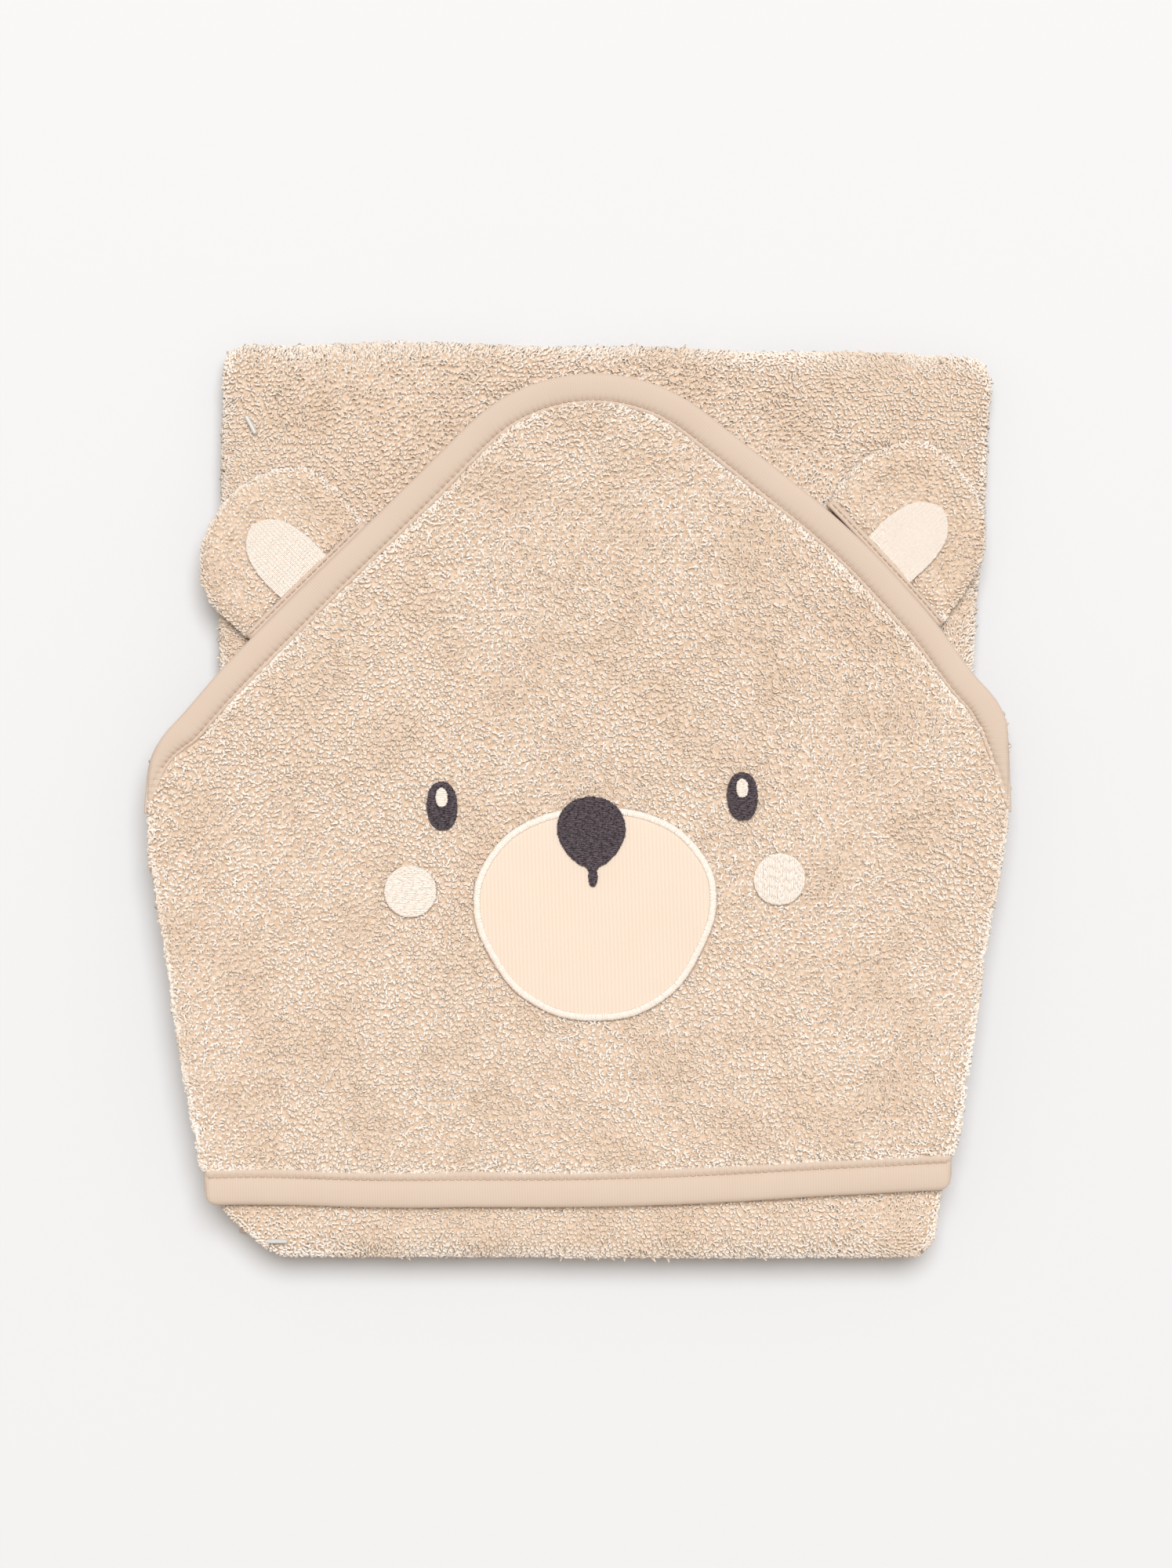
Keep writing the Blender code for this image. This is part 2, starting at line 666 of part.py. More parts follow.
def build_face(materials, collection):
    """The embroidered and applied pieces of the face."""
    nodes = {}

    def patch(name, outlines, low, material, edge=PATCH_EDGE):
        nodes[name] = flat_piece(
            name, outlines, low, low + EMBROIDERY, edge, material, collection, smooth=True
        )

    for side, sign in (("left", -1), ("right", 1)):
        eye_x = sign * EYE_SPACING / 2
        patch(f"eye_{side}", [oval(eye_x, 0, EYE_RADII)], PATCH_LOW, materials["dark"])
        glint = oval(eye_x, GLINT_RISE, GLINT_RADII)
        patch(f"eye_glint_{side}", [glint], UPPER_PATCH_LOW, materials["satin"])
        cheek = oval(sign * CHEEK_SPACING / 2, -CHEEK_DROP, (CHEEK_RADIUS, CHEEK_RADIUS))
        patch(f"cheek_{side}", [cheek], PATCH_LOW, materials["satin"])
    patch("muzzle", [muzzle_line(0)], PATCH_LOW, materials["velour"])
    ring = [muzzle_line(GAP + SATIN_WIDTH), muzzle_line(GAP)]
    patch("muzzle_border", ring, PATCH_LOW, materials["satin"], edge=0.0)
    patch("nose", [nose_line()], UPPER_PATCH_LOW, materials["dark"])
    return nodes


def build_tack(name, centre, turn, surface, material, collection):
    """The bar of a nylon tack, lying on the cloth that it pins."""
    reach = heading(turn) * TACK_LENGTH / 2
    height = surface + GAP + TACK_RADIUS
    return tube(name, [centre - reach, centre + reach], TACK_RADIUS, height, material, collection)


def main():
    """Builds the towel."""
    clear_scene()
    towel = new_collection("hooded_baby_towel")
    terry = cloth_material("cotton_terry", (0.765, 0.604, 0.474), 0.95)
    jersey = cloth_material("ribbed_jersey", (0.806, 0.651, 0.527), 0.85)
    thread = cloth_material("sewing_thread", (0.787, 0.623, 0.497), 0.6)
    nylon = cloth_material("clear_nylon", (0.9, 0.9, 0.88), 0.35)
    face = {
        "satin": cloth_material("cream_embroidery", (0.965, 0.855, 0.745), 0.5),
        "dark": cloth_material("charcoal_embroidery", (0.092, 0.07, 0.079), 0.5),
        "velour": cloth_material("peach_velour", (0.98, 0.79, 0.645), 0.9),
    }

    sections = build_sections(terry, towel)
    bindings = build_bindings(jersey, thread, towel)
    features = build_face(face, towel)
    upper_centre = Vector((PACK_LEFT_TOP + UPPER_TACK_IN[0], HALF_SPAN - UPPER_TACK_IN[1]))
    upper_tack = build_tack("fold_tack_upper", upper_centre, UPPER_TACK_TURN, MIDDLE_HIGH, nylon, towel)
    lower_left = hood_corners()[3]
    lower_centre = Vector((lower_left.x + LOWER_TACK_IN[0], -HALF_SPAN + LOWER_TACK_IN[1]))
    lower_tack = build_tack("fold_tack_lower", lower_centre, 0.0, FRONT_HIGH, nylon, towel)

    top_fold = pivot("top_fold_pivot", (0, HALF_SPAN, MIDDLE_LOW - GAP / 2), towel)
    bottom_fold = pivot("bottom_fold_pivot", (0, -HALF_SPAN, FRONT_LOW - GAP / 2), towel, top_fold)
    hood_pivot = pivot("hood_lift_pivot", (0, HOOD_HINGE_Y, HOOD_HIGH), towel, bottom_fold)
    for piece in (sections["towel_middle"], upper_tack):
        hang(piece, top_fold)
    for piece in (sections["towel_front"], sections["hood_upper"], lower_tack):
        hang(piece, bottom_fold)
    for name in ("hood_edge_binding", "hood_edge_seam"):
        hang(bindings[name], bottom_fold)
    for piece in (sections["hood_lower"], bindings["hem_binding"], bindings["hem_seam"], *features.values()):
        hang(piece, hood_pivot)
    ears = (("left", EAR_LEFT_SHAPE, EAR_STATION_LEFT), ("right", EAR_RIGHT_SHAPE, EAR_STATION_RIGHT))
    for side, shape, distance in ears:
        hang(build_ear(side, shape, distance, terry, face["satin"], towel), bottom_fold)


main()
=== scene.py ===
"""Looks of the hooded baby towel: terry pile, jersey bindings, embroidery and a plain pale studio.

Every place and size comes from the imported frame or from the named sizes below, in metres. The towel lies
face up: +X is right, +Y runs to the hood's peak and +Z is up.
"""

from __future__ import annotations

import json
import logging
import math
from dataclasses import dataclass, field
from enum import Enum
from typing import Any, Callable, Iterable

import bpy
import numpy as np
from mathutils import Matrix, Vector
from mathutils.bvhtree import BVHTree

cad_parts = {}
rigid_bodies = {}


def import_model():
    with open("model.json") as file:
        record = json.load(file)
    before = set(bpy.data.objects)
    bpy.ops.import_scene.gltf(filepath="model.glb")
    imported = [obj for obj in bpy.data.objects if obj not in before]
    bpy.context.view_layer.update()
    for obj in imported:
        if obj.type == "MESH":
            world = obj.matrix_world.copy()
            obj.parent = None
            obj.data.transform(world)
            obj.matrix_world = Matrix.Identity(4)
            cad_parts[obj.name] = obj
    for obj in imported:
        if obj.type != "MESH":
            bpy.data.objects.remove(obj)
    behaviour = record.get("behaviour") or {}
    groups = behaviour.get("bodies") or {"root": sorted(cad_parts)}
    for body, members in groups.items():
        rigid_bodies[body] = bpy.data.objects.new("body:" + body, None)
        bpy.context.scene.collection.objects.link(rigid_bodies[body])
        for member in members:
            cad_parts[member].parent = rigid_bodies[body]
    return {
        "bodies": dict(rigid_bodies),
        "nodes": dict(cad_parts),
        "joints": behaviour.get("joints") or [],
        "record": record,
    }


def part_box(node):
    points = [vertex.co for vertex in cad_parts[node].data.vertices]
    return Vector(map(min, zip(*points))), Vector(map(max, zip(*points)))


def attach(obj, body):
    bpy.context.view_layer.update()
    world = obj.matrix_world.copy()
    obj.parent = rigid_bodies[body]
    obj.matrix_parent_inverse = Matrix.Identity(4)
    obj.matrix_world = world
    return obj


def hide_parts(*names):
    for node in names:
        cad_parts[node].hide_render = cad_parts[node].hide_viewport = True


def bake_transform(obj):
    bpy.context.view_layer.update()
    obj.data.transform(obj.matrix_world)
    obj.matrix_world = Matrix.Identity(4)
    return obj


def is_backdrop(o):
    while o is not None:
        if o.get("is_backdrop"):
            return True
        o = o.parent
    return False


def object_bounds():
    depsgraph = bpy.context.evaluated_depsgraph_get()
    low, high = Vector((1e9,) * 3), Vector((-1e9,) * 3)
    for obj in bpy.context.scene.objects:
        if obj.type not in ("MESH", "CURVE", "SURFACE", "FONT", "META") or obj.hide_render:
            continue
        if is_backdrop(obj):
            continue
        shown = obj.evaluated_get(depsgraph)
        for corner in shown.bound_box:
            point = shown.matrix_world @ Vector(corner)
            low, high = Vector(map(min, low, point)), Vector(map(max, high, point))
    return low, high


LOG = logging.getLogger("hooded_towel")
MM = 0.001
BAKE_MAP = "OFBake"
TAPE_MAP = "tape_mm"
PIECE_LOOPS = 7600
# Names the attribute that paints shade at the loops' feet: how far up its loop each vertex is.
PAINTED_SHADE_RISE = "rise"
# A wave texture's bands are 2 pi / 20 apart at scale 1, so this over a width gives bands that wide.
WAVE_PERIOD = 0.314


class Density(Enum):
    """How many rows of loops stand on each cell of a cloth's mesh."""

    COARSE = 1
    FINE = 2


class StitchWay(Enum):
    """How the needle points of a filled patch fall from row to row."""

    SCATTERED = "scattered"
    ALIGNED = "aligned"


# ---------------------------------------------------------------- colours and node helpers


def linear(hex_colour: str) -> tuple[float, float, float, float]:
    """Turns an sRGB hex colour to linear.

    Args:
        hex_colour: six hex digits.

    Returns:
        Linear red, green, blue and alpha.
    """
    parts = [int(hex_colour[at : at + 2], 16) / 255 for at in (0, 2, 4)]
    curve = [part / 12.92 if part <= 0.04045 else ((part + 0.055) / 1.055) ** 2.4 for part in parts]
    return (*curve, 1.0)


def add(
    tree: bpy.types.NodeTree, kind: str, inputs: dict[Any, Any] | None = None, **settings: Any
) -> bpy.types.Node:
    """Adds a node.

    Args:
        tree: the node tree.
        kind: the node's type.
        inputs: values, or sockets to link, by socket name or number.
        settings: the node's own properties.

    Returns:
        The new node.
    """
    node = tree.nodes.new(kind)
    for name, value in settings.items():
        setattr(node, name, value)
    for name, value in (inputs or {}).items():
        if isinstance(value, bpy.types.NodeSocket):
            tree.links.new(value, node.inputs[name])
        else:
            node.inputs[name].default_value = value
    return node


def new_material(name: str) -> tuple[bpy.types.Material, bpy.types.NodeTree, bpy.types.Node]:
    """Makes a material that holds one Principled shader.

    Args:
        name: what the real material is.

    Returns:
        The material, its tree and its shader.
    """
    material = bpy.data.materials.new(name)
    material.use_nodes = True
    return material, material.node_tree, material.node_tree.nodes["Principled BSDF"]


def ramp(
    tree: bpy.types.NodeTree, factor: bpy.types.NodeSocket, stops: list[tuple[float, str]]
) -> bpy.types.NodeSocket:
    """Adds a colour ramp.

    Args:
        tree: the node tree.
        factor: what drives it.
        stops: places from 0 to 1 and sRGB hex colours.

    Returns:
        The ramp's colour socket.
    """
    node = add(tree, "ShaderNodeValToRGB", {"Fac": factor})
    band = node.color_ramp
    while len(band.elements) < len(stops):
        band.elements.new(0.5)
    for element, (place, colour) in zip(band.elements, stops):
        element.position = place
        element.color = linear(colour)
    return node.outputs["Color"]


def noise(
    tree: bpy.types.NodeTree, place: bpy.types.NodeSocket, scale: float, detail: float
) -> bpy.types.NodeSocket:
    """Returns a cloudy value from 0 to 1, at this scale in turns to the metre."""
    return add(tree, "ShaderNodeTexNoise", {"Vector": place, "Scale": scale, "Detail": detail}).outputs["Fac"]


def mixed_value(
    tree: bpy.types.NodeTree, share: float, first: bpy.types.NodeSocket, second: bpy.types.NodeSocket
) -> bpy.types.NodeSocket:
    """Returns a mix of two values, with this share of the second."""
    return add(tree, "ShaderNodeMix", {0: share, 2: first, 3: second}, data_type="FLOAT").outputs[0]


# ---------------------------------------------------------------- finishes


@dataclass(frozen=True)
class TerryYarn:
    """Soft-spun cotton loops: matt, with broad light and dark blotches painted into the colour as the light
    and shade of pile that lies over different ways.

    A loop's foot is painted deeper and warmer than its crown, as painted shade where the loops shade one
    another, and its fuzz evens out its shading.
    """

    # light, middle and dark: the crown's colours, spread by painted light and shade where the pile lies over,
    # and by the yarn's own slub.
    light: str = "FCF4EA"
    middle: str = "F9EEE2"
    dark: str = "EDDDCC"
    # foot: painted shade, the colour at a loop's foot where the loops shade one another.
    foot: str = "EBD4BC"
    painted_pile_shade_mm: float = 24.0
    yarn_mm: float = 1.6
    fuzz: float = 0.8

    def build(self) -> bpy.types.Material:
        """Returns the finish: cotton yarn, so it scatters light evenly and has no gloss."""
        material, tree, shader = new_material("cotton_terry_yarn")
        place = add(tree, "ShaderNodeTexCoord").outputs["Object"]
        flat = add(tree, "ShaderNodeMapping", {"Vector": place, "Scale": (1, 1, 0.1)}).outputs[0]
        # Broad noise: painted light and shade, lighter and darker where the pile lies over different ways.
        painted_pile_shade = noise(tree, flat, 1 / (self.painted_pile_shade_mm * MM), 2.5)
        slub = noise(tree, flat, 1 / (self.yarn_mm * MM), 1.0)
        mixed = mixed_value(tree, 0.22, painted_pile_shade, slub)
        crown = ramp(tree, mixed, [(0.40, self.dark), (0.5, self.middle), (0.60, self.light)])
        # Painted shade: the colour runs from the foot colour at a loop's foot to the crown colour near its
        # top.
        rise = add(tree, "ShaderNodeAttribute", attribute_name=PAINTED_SHADE_RISE).outputs["Fac"]
        share = add(tree, "ShaderNodeMapRange", {"Value": rise, "From Min": 0.35, "From Max": 0.95})
        colour = add(
            tree, "ShaderNodeMix", {0: share.outputs[0], 6: linear(self.foot), 7: crown}, data_type="RGBA"
        )
        tree.links.new(colour.outputs[2], shader.inputs["Base Color"])
        facing = add(tree, "ShaderNodeNewGeometry").outputs["Normal"]
        soft = add(tree, "ShaderNodeVectorMath", {0: facing, 1: (0.0, 0.0, self.fuzz)}, operation="ADD")
        even = add(tree, "ShaderNodeVectorMath", {0: soft.outputs[0]}, operation="NORMALIZE")
        tree.links.new(even.outputs[0], shader.inputs["Normal"])
        shader.inputs["Roughness"].default_value = 1.0
        shader.inputs["Specular IOR Level"].default_value = 0.0
        return material


@dataclass(frozen=True)
class TerryGround:
    """The woven ground under the loops, where only gaps and the shadow sides of loops show, so its colours
    are painted darker than the yarn's as painted shade.
    """

    # Both colours are painted darker than the yarn's as painted shade; the gap colour is the deepest, between
    # the loops.
    painted_gap_shade: str = "D6BBA0"
    loop: str = "E8D2BC"
    loop_mm: float = 1.9

    def build(self) -> bpy.types.Material:
        """Returns the finish: woven cotton with short loops drawn as cells, and painted shade, darker, in the
        gaps between them.
        """
        material, tree, shader = new_material("cotton_terry_ground")
        place = add(tree, "ShaderNodeTexCoord").outputs["Object"]
        cells = add(
            tree, "ShaderNodeTexVoronoi", {"Vector": place, "Scale": 1 / (self.loop_mm * MM)}, feature="F1"
        )
        # Painted shade: the colour darkens from the cells' middles to the gaps between them.
        colour = ramp(tree, cells.outputs["Distance"], [(0.15, self.loop), (0.75, self.painted_gap_shade)])
        bump = add(
            tree,
            "ShaderNodeBump",
            {"Strength": 0.8, "Distance": 0.6 * MM, "Height": cells.outputs["Distance"]},
            invert=True,
        )
        tree.links.new(colour, shader.inputs["Base Color"])
        tree.links.new(bump.outputs[0], shader.inputs["Normal"])
        shader.inputs["Roughness"].default_value = 1.0
        shader.inputs["Specular IOR Level"].default_value = 0.0
        return material


@dataclass(frozen=True)
class RibbedJersey:
    """Fine knitted tape: smooth and close, with ribs across it that just catch the light, and painted shade
    in the furrows between them.
    """

    face: str = "D8C4B1"
    # The furrow colour is painted shade between the ribs.
    painted_furrow_shade: str = "D4BEAB"
    rib_mm: float = 0.9

    def build(self) -> bpy.types.Material:
        """Returns the finish. Real ribs are 0.6 mm apart, drawn at 0.9 mm so that they show."""
        material, tree, shader = new_material("cotton_jersey_tape")
        along = add(tree, "ShaderNodeUVMap", uv_map=TAPE_MAP).outputs["UV"]
        ribs = add(
            tree,
            "ShaderNodeTexWave",
            {
                "Vector": along,
                "Scale": WAVE_PERIOD / self.rib_mm,
                "Distortion": 0.5,
                "Detail": 1.0,
                "Detail Scale": 2.0,
            },
            bands_direction="X",
        ).outputs["Fac"]
        place = add(tree, "ShaderNodeTexCoord").outputs["Object"]
        mixed = mixed_value(tree, 0.55, ribs, noise(tree, place, 90.0, 3.0))
        # Painted shade: the furrows between ribs are painted darker; the noise is the knit's own uneven tone.
        colour = ramp(tree, mixed, [(0.25, self.painted_furrow_shade), (0.6, self.face)])
        bump = add(tree, "ShaderNodeBump", {"Strength": 0.22, "Distance": 0.12 * MM, "Height": ribs})
        tree.links.new(colour, shader.inputs["Base Color"])
        tree.links.new(bump.outputs[0], shader.inputs["Normal"])
        shader.inputs["Roughness"].default_value = 0.85
        shader.inputs["Specular IOR Level"].default_value = 0.3
        shader.inputs["Sheen Weight"].default_value = 0.08
        return material


@dataclass(frozen=True)
class StitchThread:
    """Twisted thread of one colour: cotton or rayon, with light and dark specks along its twist as painted
    sheen and shade.
    """

    name: str
    light: str
    dark: str
    roughness: float = 0.55
    twist_mm: float = 0.7

    def build(self) -> bpy.types.Material:
        """Returns the finish: spun thread, glossier than the cloth, with painted sheen and shade on its twist
        as fine specks.
        """
        material, tree, shader = new_material(self.name)
        place = add(tree, "ShaderNodeTexCoord").outputs["Object"]
        painted_twist_sheen = noise(tree, place, 1 / (self.twist_mm * MM), 2.0)
        # Painted sheen and shade: light and dark are one thread colour as lit and as shaded, spread at random
        # along the twist.
        colour = ramp(tree, painted_twist_sheen, [(0.32, self.dark), (0.62, self.light)])
        tree.links.new(colour, shader.inputs["Base Color"])
        shader.inputs["Roughness"].default_value = self.roughness
        shader.inputs["Specular IOR Level"].default_value = 0.35
        return material


@dataclass(frozen=True)
class Velour:
    """Sheared velour knit: smooth and soft, with faint upright wales, painted darker in their furrows as
    painted shade, and a dusty, even colour.
    """

    light: str = "ECDBC9"
    # dark: painted shade in the wales' furrows, mixed with the velour's own uneven tone.
    dark: str = "EAD4BF"
    wale_mm: float = 1.3

    def build(self, turn: float) -> bpy.types.Material:
        """Returns the finish. Wales run up the face, 0.8 mm apart in life and drawn at 1.3 mm to show.

        Args:
            turn: the face's tilt, in radians.
        """
        material, tree, shader = new_material("cotton_velour")
        place = add(tree, "ShaderNodeTexCoord").outputs["Object"]
        turned = add(tree, "ShaderNodeMapping", {"Vector": place, "Rotation": (0, 0, -turn)}).outputs[0]
        wales = add(
            tree,
            "ShaderNodeTexWave",
            {
                "Vector": turned,
                "Scale": WAVE_PERIOD / (self.wale_mm * MM),
                "Distortion": 1.2,
                "Detail Scale": 1.5,
            },
            bands_direction="X",
        ).outputs["Fac"]
        soft = mixed_value(tree, 0.5, noise(tree, place, 1400.0, 3.0), noise(tree, place, 70.0, 2.0))
        mixed = mixed_value(tree, 0.6, wales, soft)
        # Painted shade: the wales' furrows are painted darker; the soft noise is the velour's own uneven
        # tone.
        colour = ramp(tree, mixed, [(0.3, self.dark), (0.62, self.light)])
        bump = add(tree, "ShaderNodeBump", {"Strength": 0.15, "Distance": 0.15 * MM, "Height": mixed})
        tree.links.new(colour, shader.inputs["Base Color"])
        tree.links.new(bump.outputs[0], shader.inputs["Normal"])
        shader.inputs["Roughness"].default_value = 0.92
        shader.inputs["Specular IOR Level"].default_value = 0.2
        shader.inputs["Sheen Weight"].default_value = 0.15
        return material


@dataclass(frozen=True)
class ClearNylon:
    """Moulded nylon of a fold tack: milky and a little glossy."""

    colour: str = "EAE8E3"

    def build(self) -> bpy.types.Material:
        """Returns the finish: clear nylon over pale cloth, a soft white with small highlights."""
        material, tree, shader = new_material("clear_nylon")
        place = add(tree, "ShaderNodeTexCoord").outputs["Object"]
        cloud = add(tree, "ShaderNodeTexNoise", {"Vector": place, "Scale": 900.0})
        colour = ramp(tree, cloud.outputs["Fac"], [(0.3, "E6E3DC"), (0.7, self.colour)])
        tree.links.new(colour, shader.inputs["Base Color"])
        shader.inputs["Roughness"].default_value = 0.35
        shader.inputs["Transmission Weight"].default_value = 0.25
        shader.inputs["IOR"].default_value = 1.53
        return material


# ---------------------------------------------------------------- flat geometry


def hull(points: np.ndarray) -> np.ndarray:
    """Finds the convex outline of flat points.

    Args:
        points: places, one row each.

    Returns:
        The outline's corners, counter-clockwise.
    """
    found: list[list[tuple[float, float]]] = []
    ordered = sorted({(round(float(x), 7), round(float(y), 7)) for x, y in points[:, :2]})
    for run in (ordered, ordered[::-1]):
        chain: list[tuple[float, float]] = []
        for point in run:
            while len(chain) > 1 and turn_of(chain[-2], chain[-1], point) <= 0:
                chain.pop()
            chain.append(point)
        found.append(chain[:-1])
    return np.array(found[0] + found[1])


def turn_of(first: Iterable[float], middle: Iterable[float], last: Iterable[float]) -> float:
    """Returns twice the area that three flat points turn round, above 0 when they turn left."""
    (ax, ay), (bx, by), (cx, cy) = first, middle, last
    return (bx - ax) * (cy - ay) - (by - ay) * (cx - ax)


def inside(outline: np.ndarray, points: np.ndarray, margin: float = 0.0) -> np.ndarray:
    """Tests which points lie in a convex outline.

    Args:
        outline: corners, counter-clockwise.
        points: flat places.
        margin: how far inside they have to be.

    Returns:
        True for each point inside.
    """
    after = np.roll(outline, -1, axis=0)
    along = after - outline
    along = along / np.maximum(np.linalg.norm(along, axis=1, keepdims=True), 1e-12)
    depth = np.full(len(points), np.inf)
    for corner, way in zip(outline, along):
        depth = np.minimum(depth, way[0] * (points[:, 1] - corner[1]) - way[1] * (points[:, 0] - corner[0]))
    return depth > margin


def resampled(line: np.ndarray, step: float, closed: bool = False) -> np.ndarray:
    """Spaces points evenly along a line.

    Args:
        line: places along it.
        step: about how far apart the new ones are.
        closed: whether the last joins the first.

    Returns:
        The new places.
    """
    if closed:
        line = np.vstack([line, line[:1]])
    reach = np.concatenate([[0.0], np.cumsum(np.linalg.norm(np.diff(line, axis=0), axis=1))])
    count = max(int(round(reach[-1] / step)), 2)
    at = np.linspace(0.0, reach[-1], count + 1)
    if closed:
        at = at[:-1]
    return np.stack([np.interp(at, reach, line[:, axis]) for axis in range(2)], axis=1)


def smoothed(line: np.ndarray, rounds: int, closed: bool = False) -> np.ndarray:
    """Eases the corners of a line.

    Args:
        line: evenly spaced places.
        rounds: how many times each point moves half way to its neighbours.
        closed: whether the line is a ring.

    Returns:
        The eased line.
    """
    eased = line.copy()
    for _ in range(rounds):
        before, after = np.roll(eased, 1, axis=0), np.roll(eased, -1, axis=0)
        moved = eased * 0.5 + (before + after) * 0.25
        if not closed:
            moved[0], moved[-1] = eased[0], eased[-1]
        eased = moved
    return eased


def normals_of(line: np.ndarray, closed: bool = False) -> np.ndarray:
    """Returns the unit vectors that point to the left of a line, at each of its places."""
    if closed:
        way = np.roll(line, -1, axis=0) - np.roll(line, 1, axis=0)
    else:
        way = np.gradient(line, axis=0)
    way = way / np.maximum(np.linalg.norm(way, axis=1, keepdims=True), 1e-12)
    return np.stack([-way[:, 1], way[:, 0]], axis=1)


# ---------------------------------------------------------------- the frame


class Frame:
    """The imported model: its nodes, and outlines read from them."""

    def __init__(self) -> None:
        """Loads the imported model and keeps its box."""
        self.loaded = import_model()
        self.box = [[float(value) for value in corner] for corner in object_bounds()]
        bpy.ops.object.select_all(action="DESELECT")

    def points(self, *nodes: str) -> np.ndarray:
        """Returns the places of these nodes' vertices."""
        found = []
        for node in nodes:
            mesh = self.loaded["nodes"][node].data
            places = np.empty(len(mesh.vertices) * 3)
            mesh.vertices.foreach_get("co", places)
            found.append(places.reshape(-1, 3))
        return np.vstack(found)

    def outline(self, *nodes: str) -> np.ndarray:
        """Returns the convex outline of these nodes, seen from above."""
        return hull(self.points(*nodes))

    def low(self, node: str) -> float:
        """Returns the node's lowest height."""
        return float(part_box(node)[0][2])

    def high(self, node: str) -> float:
        """Returns the node's greatest height."""
        return float(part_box(node)[1][2])

    def mesh_copy(self, name: str, *nodes: str) -> bpy.types.Object:
        """Joins copies of nodes to one new object.

        Args:
            name: the new object's name.
            nodes: the nodes.

        Returns:
            The new object, its loose triangles merged.
        """
        bpy.ops.object.select_all(action="DESELECT")
        copies = []
        for node in nodes:
            source = self.loaded["nodes"][node]
            copy = bpy.data.objects.new(name, source.data.copy())
            copy.data.materials.clear()
            bpy.context.scene.collection.objects.link(copy)
            copy.select_set(True)
            copies.append(copy)
        bpy.context.view_layer.objects.active = copies[0]
        if len(copies) > 1:
            bpy.ops.object.join()
        made = bpy.context.view_layer.objects.active
        made.name = name
        bpy.ops.object.mode_set(mode="EDIT")
        bpy.ops.mesh.select_all(action="SELECT")
        bpy.ops.mesh.remove_doubles(threshold=1e-6)
        bpy.ops.mesh.normals_make_consistent(inside=False)
        bpy.ops.object.mode_set(mode="OBJECT")
        return made


# ---------------------------------------------------------------- mesh helpers


def places_of(piece: bpy.types.Object) -> np.ndarray:
    """Returns the places of a mesh's vertices."""
    places = np.empty(len(piece.data.vertices) * 3)
    piece.data.vertices.foreach_get("co", places)
    return places.reshape(-1, 3)


def set_places(piece: bpy.types.Object, places: np.ndarray) -> None:
    """Moves a mesh's vertices to these places."""
    piece.data.vertices.foreach_set("co", np.ascontiguousarray(places, dtype=np.float32).ravel())
    piece.data.update()


def mesh_piece(
    name: str, places: np.ndarray, faces: np.ndarray | list, material: bpy.types.Material, smooth: bool = True
) -> bpy.types.Object:
    """Makes a piece of these places and faces.

    Args:
        name: its name.
        places: its vertices.
        faces: its faces, as rows of vertex numbers, all of one length, or a list of any.
        material: what it wears.
        smooth: whether it is shaded smooth.

    Returns:
        The new object, at the origin.
    """
    mesh = bpy.data.meshes.new(name)
    if isinstance(faces, np.ndarray):
        mesh.vertices.add(len(places))
        mesh.vertices.foreach_set("co", np.ascontiguousarray(places, dtype=np.float32).ravel())
        mesh.loops.add(faces.size)
        mesh.loops.foreach_set("vertex_index", faces.astype(np.int32).ravel())
        mesh.polygons.add(len(faces))
        mesh.polygons.foreach_set("loop_start", np.arange(0, faces.size, faces.shape[1], dtype=np.int32))
        mesh.update(calc_edges=True)
    else:
        mesh.from_pydata([tuple(place) for place in places], [], faces)
    mesh.materials.append(material)
    if smooth:
        mesh.shade_smooth()
    made = bpy.data.objects.new(name, mesh)
    bpy.context.scene.collection.objects.link(made)
    return made


def flat_map(piece: bpy.types.Object) -> None:
    """Gives a piece a map of its own plan, seen from above, for its colours."""
    mesh = piece.data
    layer = mesh.uv_layers.new(name=BAKE_MAP)
    corners = np.empty(len(mesh.loops), dtype=np.int32)
    mesh.loops.foreach_get("vertex_index", corners)
    plan = places_of(piece)[:, :2]
    low, span = plan.min(axis=0), np.ptp(plan, axis=0).max()
    layer.data.foreach_set("uv", ((plan - low) / span)[corners].astype(np.float32).ravel())


def tubes(
    paths: np.ndarray, across: float, tall: float, up: np.ndarray, sides: int
) -> tuple[np.ndarray, np.ndarray]:
    """Sweeps one small round section along many paths at once.

    Args:
        paths: places, by path and by step.
        across: half the yarn's width.
        tall: half its height.
        up: the way that each path's section stands, by path.
        sides: how many sides it has.

    Returns:
        Vertices and quads, with a closed end at each end when the section has four sides.
    """
    count, steps, _ = paths.shape
    way = np.gradient(paths, axis=1)
    way /= np.maximum(np.linalg.norm(way, axis=2, keepdims=True), 1e-12)
    side = np.cross(way, up[:, None, :])
    side /= np.maximum(np.linalg.norm(side, axis=2, keepdims=True), 1e-12)
    rise = np.cross(side, way)
    angle = np.arange(sides) * 2 * np.pi / sides + np.pi / 2
    ring = (
        paths[:, :, None, :]
        + side[:, :, None, :] * (np.cos(angle) * across)[None, None, :, None]
        + rise[:, :, None, :] * (np.sin(angle) * tall)[None, None, :, None]
    )
    verts = ring.reshape(-1, 3)
    step, turn = np.meshgrid(np.arange(steps - 1), np.arange(sides), indexing="ij")
    one = np.stack(
        [
            step * sides + turn,
            step * sides + (turn + 1) % sides,
            (step + 1) * sides + (turn + 1) % sides,
            (step + 1) * sides + turn,
        ],
        axis=-1,
    ).reshape(-1, 4)
    if sides == 4:
        last = (steps - 1) * sides
        one = np.vstack([one, [[3, 2, 1, 0]], [[last, last + 1, last + 2, last + 3]]])
    faces = one[None] + (np.arange(count) * steps * sides)[:, None, None]
    return verts, faces.reshape(-1, 4)


